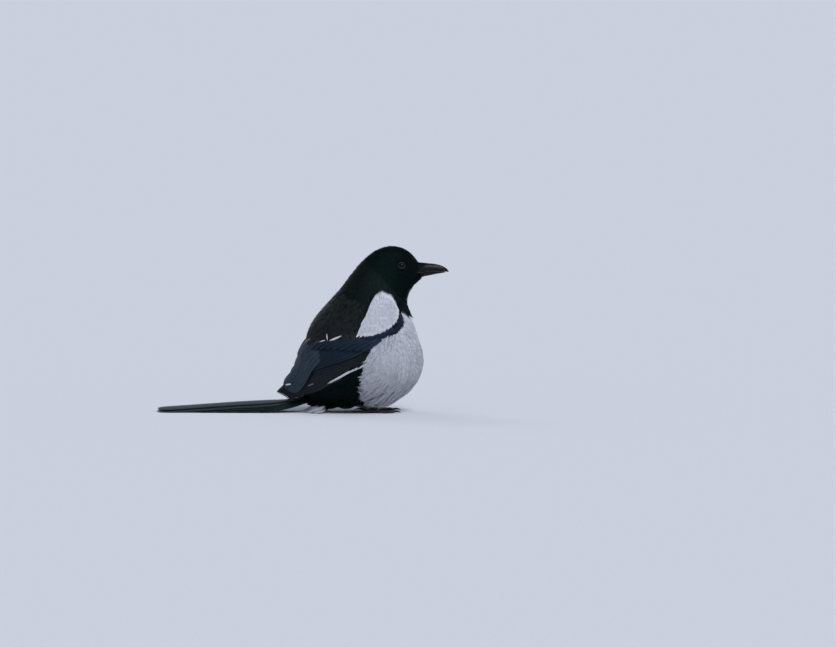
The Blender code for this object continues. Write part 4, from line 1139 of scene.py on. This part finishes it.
def vane_rows(steps, tip):
    """Shares of a vane's length, closer towards its round tip, and its width at each."""
    round_end = 1 - tip * np.cos(np.linspace(0, math.pi / 2, 7)[1:])
    shares = np.concatenate([np.linspace(0, 1 - tip, steps), round_end])
    past = np.clip((shares - (1 - tip)) / tip, 0, 1)
    widths = np.interp(shares, [0, 0.3, 1], [0.75, 1, 1]) * np.sqrt(np.maximum(1 - past**2, 0.02))
    return shares, widths


def wing_row(
    sheaf, side, lines, count, lift, cover, rng,
    tip=0.12, least=0.0, layer=0.0, bend=(0, 0), steps=12, camber=0.12,
):
    """A row of vanes from a first midline to a last one, given in the side view from root to tip.

    Each tilts so that the next slips under its lower edge. With layer they lie level and step down instead.
    A vane's half width is cover times their spacing, and no less than least. tip is the share of its length
    that rounds off, bend raises its root and its tip, and camber arches it across.
    """
    shares, outline = vane_rows(steps, tip)
    ends = [curve_at(on_wing(line, len(line)), shares * (len(line) - 1)) for line in lines]
    spread = (wing.point(*ends[1].T) - wing.point(*ends[0].T)) / max(count - 1, 1)
    rise = bend[0] * np.clip(1 - shares / 0.4, 0, 1) + bend[1] * shares**2
    for i in range(count):
        share = i / max(count - 1, 1)
        path = ends[0] * (1 - share) + ends[1] * share
        along, around, normal = wing.axes(path[:, 0], path[:, 1])
        middle = wing.point(*path.T)
        across = unit(np.cross(np.gradient(middle, axis=0), normal))
        across *= np.sign((across * around).sum(-1, keepdims=True))
        spacing = np.maximum(np.abs((across * spread).sum(-1)), 1.2)
        half = np.maximum(spacing * cover, least) * outline
        slope = 0 if layer else LAYER / spacing
        run = np.concatenate([[0], np.cumsum(np.linalg.norm(np.diff(middle, axis=0), axis=1))])
        top, bottom, marks, rims, uvs = [], [], [], [], []
        tone = rng.random()
        for edge, shaft in zip(VANE_COLUMNS, SHAFT):
            offset = across * (half * edge)[:, None]
            t = path[:, 0] + (offset * along).sum(-1) / (along**2).sum(-1)
            angle = path[:, 1] + (offset * around).sum(-1) / (around**2).sum(-1)
            half_width = curve_at(wing.chords, t)[:, 4]
            angle = np.maximum(angle, np.arcsin(np.clip(MIDDLE_GAP / half_width, 0, 1)))
            height = lift + rise - layer * i + slope * half * edge + camber * (1 - edge**2) * outline
            top.append(wing_point(t, angle, height + shaft + VANE, side))
            bottom.append(wing_point(t, angle, height, side))
            marks.append(np.stack([half * edge, run, np.full(len(run), tone)], -1))
            rims.append(np.maximum(np.abs(edge), np.clip((run - run[-1] + 4) / 4, 0, 1)))
            uvs.append(np.stack([(i + 0.5 + 0.45 * edge * outline) / count, 0.02 + 0.96 * shares], -1))
        slab(sheaf, *(np.stack(v, 1) for v in (top, bottom, marks, rims, uvs)))


BLUE = vane_finish("blue_flight_feather", "#19232f", "#121a23", "#0a0e13", 0.42, 0.3, "#a0bce4", 0.2)
SLATE = vane_finish("tertial_feather", "#222c38", "#2a353b", "#0c1014", 0.42, 0.35, "#b0c8e0")
SOOT = vane_finish("primary_feather", "#14181a", "#1e2325", "#060708", 0.45, 0.25, "#c4d4e0")
TAIL = vane_finish("tail_feather", "#11181b", "#13171b", "#050607", 0.38, 0.35, "#98ccc0")
PALE = vane_finish("white_vane_edge", "#c3c6ce", "#d4d6dc", "#a9acb4", 0.6, 0.3, "#ffffff", 0.15)


def arm(side, name):
    """The feathered arm and hand that the flight feathers grow from, which taper into the breast in front."""
    shares = np.linspace(0, 1, 13)  # from the upper edge to the lower one
    rows = 60
    under = -2.2  # the inner face lies deeper than the wing's sheet
    sheaf = Sheaf()
    for top, low, height, fall in ((ARM_TOP, ARM_LOW, 3.7, 1.2), (*HAND, 2.2, 0.2)):
        a, b = on_wing(top, rows), on_wing(low, rows)
        place = a[:, None] * (1 - shares[None, :, None]) + b[:, None] * shares[None, :, None]
        t, angle = place[..., 0], place[..., 1]
        grown = np.interp(np.arange(rows), [0, 9], [0, 1])[:, None]
        upper = wing_point(t, angle, grown * (height - fall * shares**2) - 1.6 * (1 - grown), side)
        lower = wing_point(t, angle, np.full(t.shape, under), side)
        marks = np.stack([t * 0 + 0.4, t * 0, t * 0 + 0.4], -1)
        seat = np.broadcast_arrays(shares[None, :] * 0.4, np.linspace(0, 1, rows)[:, None] * 0.05)
        slab(sheaf, upper, lower, marks, t * 0, np.stack(seat, -1))
    return sheaf.piece(f"wing_arm_{name}", BLACK_BACK, "glossy_vanes")


def wing_feathers(side, name):
    """The rows of the folded wing, from the lowest to the one on top, and their white edges."""
    rng = np.random.default_rng(71 + side)
    tertial_form = dict(tip=0.22, least=10.5, layer=0.45, bend=(-3.5, 0))
    rows = [  # piece, midlines, count, lift, cover, finish, replaced nodes, form
        ("primaries", PRIMARIES, 9, 0.8, 0.85, SOOT, (), dict(tip=0.1, steps=16)),
        ("secondaries", SECONDARIES, 8, 2.9, 0.8, BLUE, (f"wing_{name}",), dict(tip=0.1, bend=(-1, 0))),
        ("greater_coverts", GREATER_COVERTS, 9, 4.5, 0.85, BLUE, (), dict(tip=0.25, bend=(-1.2, -0.3))),
        ("tertials", TERTIALS, 4, 5.8, 0.8, SLATE, (), tertial_form),
    ]
    for piece, lines, count, lift, cover, finish, nodes, form in rows:
        sheaf = Sheaf()
        wing_row(sheaf, side, lines, count, lift, cover, rng, **form)
        sheaf.piece(f"{piece}_{name}", finish, "glossy_vanes", "vane", nodes)
    sheaf = Sheaf()
    for line, half, lift in WHITE_EDGES:
        wing_row(sheaf, side, [line, line], 1, lift, 0, rng, tip=0.4, least=half, camber=0.2)
    sheaf.piece(f"white_vane_edges_{name}", PALE, "white_plumage", "vane")


def wing_coverts():
    """Small blue-black feathers along the front of the arm, between the white patch and the breast."""
    rng = np.random.default_rng(81)

    def front(x, z, t, angle):
        return under_wing(x, z) & (x > 6) & ~inside(BREAST, x, z) & ~inside(PATCH, x, z)

    t, angle = scatter(1.45, front, rng, (3, 11))
    turn = 0.8 * np.sign(body.flat_point(t, angle)[:, 1])  # they lie along the arm, not down the body
    length = trimmed(t, angle, 9.0, BREAST, False, turn)
    t, angle, length, turn = keep(length > 3, t, angle, length, turn)
    coat(
        "wing_coverts", (t, angle), length, 1.9, COVERT, "glossy_vanes", 82, (0.0, 1.2),
        relief=Relief(OUTER_NODES, 20), turn=turn, strands=8, rings=3, strand=0.5, rounding=0.35, fray=0.08,
        thick=0.12, jitter=0.05, rough=0.08,
    )


def tail_point(along, across, lift):
    """A place on the tail: along it from the root, across it from the ridge to the left, and above it."""
    ridge = np.array(TAIL_RIDGE, float)
    lengths = np.concatenate([[0], np.cumsum(np.linalg.norm(np.diff(ridge, axis=0), axis=1))])
    t = np.interp(along, lengths, np.arange(len(ridge)))
    ahead = unit(curve_at(ridge, t + 0.05) - curve_at(ridge, t - 0.05))
    up = np.stack([ahead[..., 1], -ahead[..., 0]], -1)
    roll = TAIL_ROLL * np.clip(along / 70, 0, 1)
    drop = lift - 0.006 * across**2
    y = across * np.cos(roll) - drop * np.sin(roll)
    side_view = curve_at(ridge, t) + up * (across * np.sin(roll) + drop * np.cos(roll))[..., None]
    return np.stack([side_view[..., 0], y, side_view[..., 1]], -1)


def tail():
    """Twelve long feathers, the middle pair on top and each further pair shorter and lower."""
    rng = np.random.default_rng(91)
    sheaf = Sheaf()
    for pair, (length, outer_edge, inner_edge) in enumerate(TAIL_FEATHERS):
        shares, outline = vane_rows(22, 0.1)
        along = 4 + (length - 4) * shares
        spread = 0.35 + 0.65 * np.clip(along / 60, 0, 1)
        for side in (RIGHT, LEFT):
            layer = pair + (1 if pair else (0 if side == LEFT else 1))
            middle = (outer_edge + inner_edge) / 2 * spread
            half = (outer_edge - inner_edge) / 2 * spread * outline
            tone = rng.random()
            across = (middle[:, None] + half[:, None] * VANE_COLUMNS) * side
            camber = 0.25 * (1 - VANE_COLUMNS**2) * outline[:, None]
            lift = np.full(across.shape, -TAIL_LAYER * layer) + camber
            run = np.broadcast_to(along[:, None], across.shape)
            marks = np.stack([half[:, None] * VANE_COLUMNS, run, np.full(across.shape, tone)], -1)
            rims = np.maximum(np.abs(VANE_COLUMNS)[None, :], np.clip((run - length + 6) / 6, 0, 1))
            place = (pair * 2 + (side > 0) + 0.5 + 0.45 * VANE_COLUMNS[None, :] * outline[:, None]) / 12
            uvs = np.stack([place, np.broadcast_to(0.02 + 0.96 * shares[:, None], across.shape)], -1)
            top, bottom = tail_point(run, across, lift + SHAFT), tail_point(run, across, lift - VANE)
            slab(sheaf, top, bottom, marks, rims, uvs)
    sheaf.piece("tail_feathers", TAIL, "glossy_vanes", "vane", nodes=("tail",))


def tail_coverts():
    """Black feathers that fill the gap between the folded wings and the root of the tail."""
    rng = np.random.default_rng(96)
    count = 150
    root, across = rng.uniform(2, 27, count), rng.uniform(-14, 14, count)
    share = np.linspace(0, 1, 5)
    run = root[:, None] + rng.uniform(16, 20, count)[:, None] * share
    across = np.broadcast_to(across[:, None], run.shape)
    mound = 6.5 * (1 - (run / 48) ** 2) * (1 - (across / 17) ** 2)
    line = tail_point(run, across, mound - 1.0 + 1.6 * share)
    normal = np.broadcast_to([0, 0, 1.0], line.shape)
    seat = np.stack([0.5 + across[:, 0] / 60, 0.05 + root / 400], -1)
    form = dict(strands=9, rings=3, strand=0.6, rounding=0.4, fray=0.15, thick=0.14)
    sheaf = Sheaf()
    comb(sheaf, line, normal, 2.6, rng, seat, **form)
    sheaf.piece("upper_tail_coverts", BLACK_BACK, "black_plumage")


def fluff():
    """White down and long feathers that trail from under the rump along the floor."""
    rng = np.random.default_rng(101)
    count = 420
    turn = rng.uniform(-1.3, 1.3, count)
    out = rng.uniform(0.25, 1.0, count)
    height = 3 + 9 * rng.random(count) * np.sqrt(1.05 - out**2)
    start = np.stack([-42 - 16 * out * np.cos(turn), 24 * out * np.sin(turn), height], -1)
    ahead = np.stack([-np.cos(turn * 0.7), np.sin(turn * 0.7), rng.uniform(-0.4, 0.0, count)], -1)
    length = rng.uniform(11, 20, count) * (0.7 + 0.3 * np.cos(turn))
    share = np.linspace(0, 1, 5)
    line = start[:, None] + ahead[:, None] * (length[:, None] * share)[..., None]
    line[..., 2] -= 0.02 * (length[:, None] * share) ** 2
    line[..., 2] = np.maximum(line[..., 2], 0.8)
    normal = np.broadcast_to([0, 0, 1.0], line.shape)
    seat = np.stack([0.5 + start[:, 1] / 60, 0.07 + (start[:, 0] + 50) / 400], -1)
    form = dict(strands=11, rings=4, strand=0.36, fan=(0.4, 1, 0.7), fray=0.4)
    sheaf = Sheaf()
    comb(sheaf, line, normal, 3.0, rng, seat, **form)
    sheaf.piece("white_fluff_under_rump", WHITE, "white_plumage")


def bill_ring(x, culmen, mouth, under, half_width, side, turns):
    """Half a bill's outline at x: a ridged dome above or below the line of the mouth."""
    edge = mouth + side * 0.15
    reach = (culmen if side > 0 else under) - edge
    lean = 0.8 if side > 0 else 0.9
    y = half_width * np.cos(turns)
    z = edge + reach * np.abs(np.sin(turns)) ** lean
    return np.stack([np.full(len(turns), x), y, z], 1)


def bill(side, name, node):
    """The upper (side 1) or the lower (side -1) half of the bill, closed along the mouth."""
    stations = np.array([*BILL, BILL_END] if side > 0 else [*BILL[:-1], LOWER_BILL_END], float)
    turns = np.linspace(0, math.pi, 25)
    share = np.linspace(0, 1, 9)[1:-1, None]
    rings = []
    for row in curve_at(stations, np.linspace(0, len(stations) - 1, 60)):
        arc = bill_ring(*row, side, turns)
        rings.append(np.concatenate([arc, arc[-1:] * (1 - share) + arc[:1] * share]))
    rings = np.array(rings)
    sheaf = Sheaf()
    tube(sheaf, rings, np.zeros(rings.shape), sheet_uv(*rings.shape[:2]))
    return sheaf.piece(name, HORN, "horn", nodes=(node,))


HORN = horn_finish("bill_horn", "#08090b", "#121416")
CLAW = horn_finish("claw_horn", "#0e0f10", "#26282a")
SCUTES = scale_finish("leg_scutes", "#0c0b0c", "#272527")


def bristles():
    """Stiff feathers that lie forward over the nostrils and the bill's base, short ones under the chin."""
    rng = np.random.default_rng(111)
    stations = np.array(BILL)
    share = np.linspace(0, 1, 6)
    form = dict(strands=3, rings=4, strand=0.34, fan=(0.5, 1, 0.7), thick=0.12)
    sheaf = Sheaf()
    for under, count in ((0, 760), (1, 200)):
        side = rng.choice([-1, 1], count)[:, None]
        down = rng.random(count)[:, None]  # 0 on the ridge, 1 beside the nostril or the corner of the mouth
        start = rng.uniform(51 + 5 * under, 60 + 3 * under, count)[:, None]
        length = rng.uniform(10.5, 17, count)[:, None] * (1 - 0.55 * down) * (1 - 0.5 * under)
        x = start + length * share
        ridge, mouth, low, half = (np.interp(x, stations[:, 0], stations[:, k]) for k in (1, 2, 3, 4))
        edge = low if under else ridge
        rise = np.clip(1 - 0.78 * down**1.1 + (0.2 * down + 0.04) * share, 0, 0.995)
        z = mouth + (edge - mouth) * rise
        rise = rise**1.25
        y = side * half * np.sqrt(1 - rise**2)
        line = np.stack([x, y, z], -1)
        normal = unit(np.stack([0 * y, side * np.sqrt(1 - rise**2), (1 - 2 * under) * rise], -1))
        line += normal * (rng.uniform(0.15, 0.7, count)[:, None] * (1 - 0.6 * share))[..., None]
        seat = np.stack([0.5 + y[:, 0] / 60, 0.97 + 0 * y[:, 0]], -1)
        comb(sheaf, line, normal, 0.8, rng, seat, **form)
    return sheaf.piece("nasal_bristles", BLACK_HEAD, "black_plumage")


def eye_axes(side):
    """The way an eye looks out, the way ahead on it and the way up."""
    out = EYE_OUT * (1, side, 1)
    ahead = unit(np.array([1.0, 0, 0.1]) - out * out[0])
    return out, ahead, np.cross(out, ahead)


def eyeball(side, name):
    """The eyeball, whose cornea bulges a little."""
    out, ahead, up = eye_axes(side)
    turns = np.arange(48) * math.pi / 24
    polar = np.linspace(0, math.pi, 34)[1:-1]
    bulge = EYE_RADIUS + 0.35 * np.exp(-((polar / 0.5) ** 2))
    circle = np.cos(turns)[:, None] * ahead + np.sin(turns)[:, None] * up
    way = np.cos(polar)[:, None, None] * out + np.sin(polar)[:, None, None] * circle[None]
    rings = EYE_CENTRES[side] + bulge[:, None, None] * way
    away, turn = np.meshgrid(polar / math.pi * 2, turns, indexing="ij")
    sheaf = Sheaf()
    tube(sheaf, rings, np.stack([away, away * 0, turn], -1), np.stack([turn / 6.4, away / 2], -1))
    sheaf.piece(f"eyeball_{name}", EYE, "eye", "gaze", nodes=(f"eye_{name}",))


def eyelids(side, name):
    """The bare rim of lids that lies on the eyeball: a ring, longer than high, with fine creases."""
    out, ahead, up = eye_axes(side)
    long_way, short_way = 96, 12
    around = np.arange(long_way) * math.pi / 48
    section_turn = np.arange(short_way) * math.pi / 6
    inner_rim, outer_rim = 3.15 + 0.45 * np.cos(2 * around), 4.1 + 0.15 * np.cos(2 * around)
    half = (outer_rim - inner_rim) / 2 + 0.08 * np.abs(np.sin(around * 17))
    lean = np.arcsin((inner_rim + outer_rim) / 2 / EYE_RADIUS)[:, None]
    ring_out = np.cos(around)[:, None] * ahead + np.sin(around)[:, None] * up
    tangent = np.cos(lean) * ring_out - np.sin(lean) * out
    facing = np.sin(lean) * ring_out + np.cos(lean) * out
    wide = half[:, None, None] * np.cos(section_turn)[None, :, None] * tangent[:, None]
    high = 0.4 * np.sin(section_turn)[None, :, None] * facing[:, None]
    rings = EYE_CENTRES[side] + facing[:, None] * (EYE_RADIUS + 0.15) + (wide + high)
    wrap = grid_faces(2, short_way)
    wrap = np.where(wrap < short_way, wrap + (long_way - 1) * short_way, wrap - short_way)
    faces = np.concatenate([grid_faces(long_way, short_way), wrap])
    uvs = sheet_uv(long_way, short_way) * (1, 0.1)
    sheaf = Sheaf()
    sheaf.put(rings.reshape(-1, 3), faces, np.zeros((long_way * short_way, 3)), uvs.reshape(-1, 2))
    sheaf.piece(f"eyelids_{name}", LID, "leg_scales")


EYE = eye_finish()
LID = scale_finish("lid_skin", "#080808", "#171616")


def limb(sheaf, points, radii, sides, scutes=0.0, depth=0.0):
    """A tube along points. Its top carries cross scutes of the length scutes, which swell it by depth."""
    points, radii = np.asarray(points, float), np.asarray(radii, float)
    length = np.linalg.norm(np.diff(points, axis=0), axis=1).sum()
    steps = max(12, int(length / 0.35))
    at = np.linspace(0, len(points) - 1, steps)
    line, radius = curve_at(points, at), np.interp(at, np.arange(len(points)), radii)
    ahead = unit(np.gradient(line, axis=0))
    sideways = unit(np.cross(ahead, [0, 0, 1.0]))
    up = np.cross(sideways, ahead)
    run = np.linspace(0, length, steps)
    turns = np.arange(sides) * 2 * math.pi / sides
    rings = []
    for k in range(steps):
        reach = np.full(sides, radius[k])
        if scutes:
            phase = (run[k] / scutes) % 1
            over = 0.4 + 0.6 * np.clip(np.sin(turns), 0, 1)
            reach = radius[k] * (1 + depth * (np.sin(math.pi * phase) ** 0.5) * over)
        way = np.cos(turns)[:, None] * sideways[k] + np.sin(turns)[:, None] * up[k]
        rings.append(line[k] + way * reach[:, None])
    rings = np.array(rings)
    tube(sheaf, rings, np.zeros(rings.shape), sheet_uv(steps, sides))


def leg(side, name):
    """Shank, toes and claws of one leg. The toes lie flat on the floor."""
    heel = np.array([ANKLE[0], LEG_Y * side, ANKLE[1]])
    foot = np.array([FOOT_JOINT[0], LEG_Y * side, FOOT_JOINT[1]])
    points = [heel + (foot - heel) * share for share in (0, 0.1, 0.3, 0.75, 0.93)]
    sheaf = Sheaf()
    limb(sheaf, points, (2.3, 2.9, 1.9, 1.9, 2.4), 18, 2.6, 0.07)
    sheaf.piece(f"shank_scutes_{name}", SCUTES, "leg_scales", nodes=(f"shank_{name}",))
    toes, claws = Sheaf(), Sheaf()
    start = np.array([FOOT_JOINT[0], LEG_Y * side, 0.0])
    shares, heights = (-0.12, 0.25, 0.5, 0.75, 1.0), (2.1, 1.55, 1.75, 1.35, 1.25)
    arc = [(-0.1, 0.2), (0.3, 0.75), (0.7, 0.35), (1.0, -0.85)]  # share of the claw's length, rise
    for degrees, length, claw_length in TOES:
        turn = math.radians(degrees) * side
        heading = np.array([math.cos(turn), math.sin(turn), 0.0])
        line = [start + heading * length * s + (0, 0, h) for s, h in zip(shares, heights)]
        limb(toes, line, (2.1, 1.75, 2.0, 1.6, 1.35), 16, 1.5, 0.09)
        tip = start + heading * (length + 0.3) + (0, 0, heights[-1])
        line = [tip + heading * claw_length * s + np.array([0, 0, h]) for s, h in arc]
        limb(claws, line, (1.25, 1.1, 0.7, 0.12), 14)
    toes.piece(f"toes_{name}", SCUTES, "leg_scales", nodes=(f"foot_{name}",))
    claws.piece(f"claws_{name}", CLAW, "horn", nodes=tuple(f"claw_{name}_{k}" for k in range(1, 5)))


def lay_floor():
    """A plain pale floor of matt paint."""
    mesh = bpy.data.meshes.new("floor")
    mesh.from_pydata([(-900, -900, 0), (900, -900, 0), (900, 900, 0), (-900, 900, 0)], [], [(0, 1, 2, 3)])
    floor = bpy.data.objects.new("floor", mesh)
    bpy.context.scene.collection.objects.link(floor)
    paint, tree = empty_material("painted_floor")
    # A roller leaves a faint stipple about 3 mm across.
    place = add(tree, "TexCoord").outputs["Object"]
    grain = add(tree, "TexNoise", {"Vector": place, "Scale": 300.0, "Detail": 2.0})
    colour = add(tree, "ValToRGB", {"Fac": grain}, [(0.3, "#ced1d7"), (0.7, "#d2d5db")])
    inputs = {"Base Color": colour, "Roughness": 0.9, "Specular IOR Level": 0.0}
    add(tree, "OutputMaterial", {"Surface": add(tree, "BsdfPrincipled", inputs)})
    mesh.materials.append(paint)


def studio():
    """A pale surround that dims upwards, one large soft light and a weak one behind."""
    world = bpy.data.worlds.new("pale_surround")
    bpy.context.scene.world = world
    world.use_nodes = True
    tree = world.node_tree
    tree.nodes.clear()
    height = add(tree, "SeparateXYZ", {"Vector": add(tree, "TexCoord").outputs["Generated"]}).outputs["Z"]
    sky = add(tree, "ValToRGB", {"Fac": height}, [(0.0, "#c9d0dc"), (0.3, "#a6aebb"), (1.0, "#8b94a3")])
    add(tree, "OutputWorld", {"Surface": add(tree, "Background", {"Color": sky, "Strength": 1.0})})
    for name, spot, strength in (("key", (1.5, -2.2, 3.2), 2.2), ("back", (-1.8, 2.4, 2.2), 0.4)):
        light = bpy.data.lights.new(name, "SUN")
        light.angle = math.radians(30)
        light.energy = strength
        lamp = bpy.data.objects.new(name, light)
        lamp.location = spot
        lamp.rotation_euler = (-Vector(spot)).to_track_quat("-Z", "Y").to_euler()
        bpy.context.scene.collection.objects.link(lamp)
    bpy.context.scene.view_settings.view_transform = "Standard"


def camera():
    """A long lens from the bird's right, a little above it."""
    aim = Vector(to_frame((60.95, 0, 101.8)))
    rise = math.radians(3.6)
    distance = 6.0
    frame_width = 0.9614  # metres that the view takes in at the bird
    data = bpy.data.cameras.new("camera")
    data.sensor_width = 36
    data.lens = 36 * distance / frame_width
    data.clip_end = 2000
    made = bpy.data.objects.new("camera", data)
    made.location = aim + Vector((0, -math.cos(rise), math.sin(rise))) * distance
    made.rotation_euler = (aim - made.location).to_track_quat("-Z", "Y").to_euler()
    bpy.context.scene.collection.objects.link(made)
    bpy.context.scene.camera = made


lay_floor()
studio()
camera()
skin(BODY_NODES)
head_coat()
neck_coat()
mantle_coat()
rump_coat()
breast_coat()
patch_coat()
vent_coat()
rump_marks()
wing_coverts()
for side_name, side in SIDES:
    arm(side, side_name)
    wing_feathers(side, side_name)
    eyeball(side, side_name)
    eyelids(side, side_name)
    leg(side, side_name)
tail()
tail_coverts()
fluff()
bill(1, "upper_mandible", "bill_upper")
bill(-1, "lower_mandible", "bill_lower")
bristles()
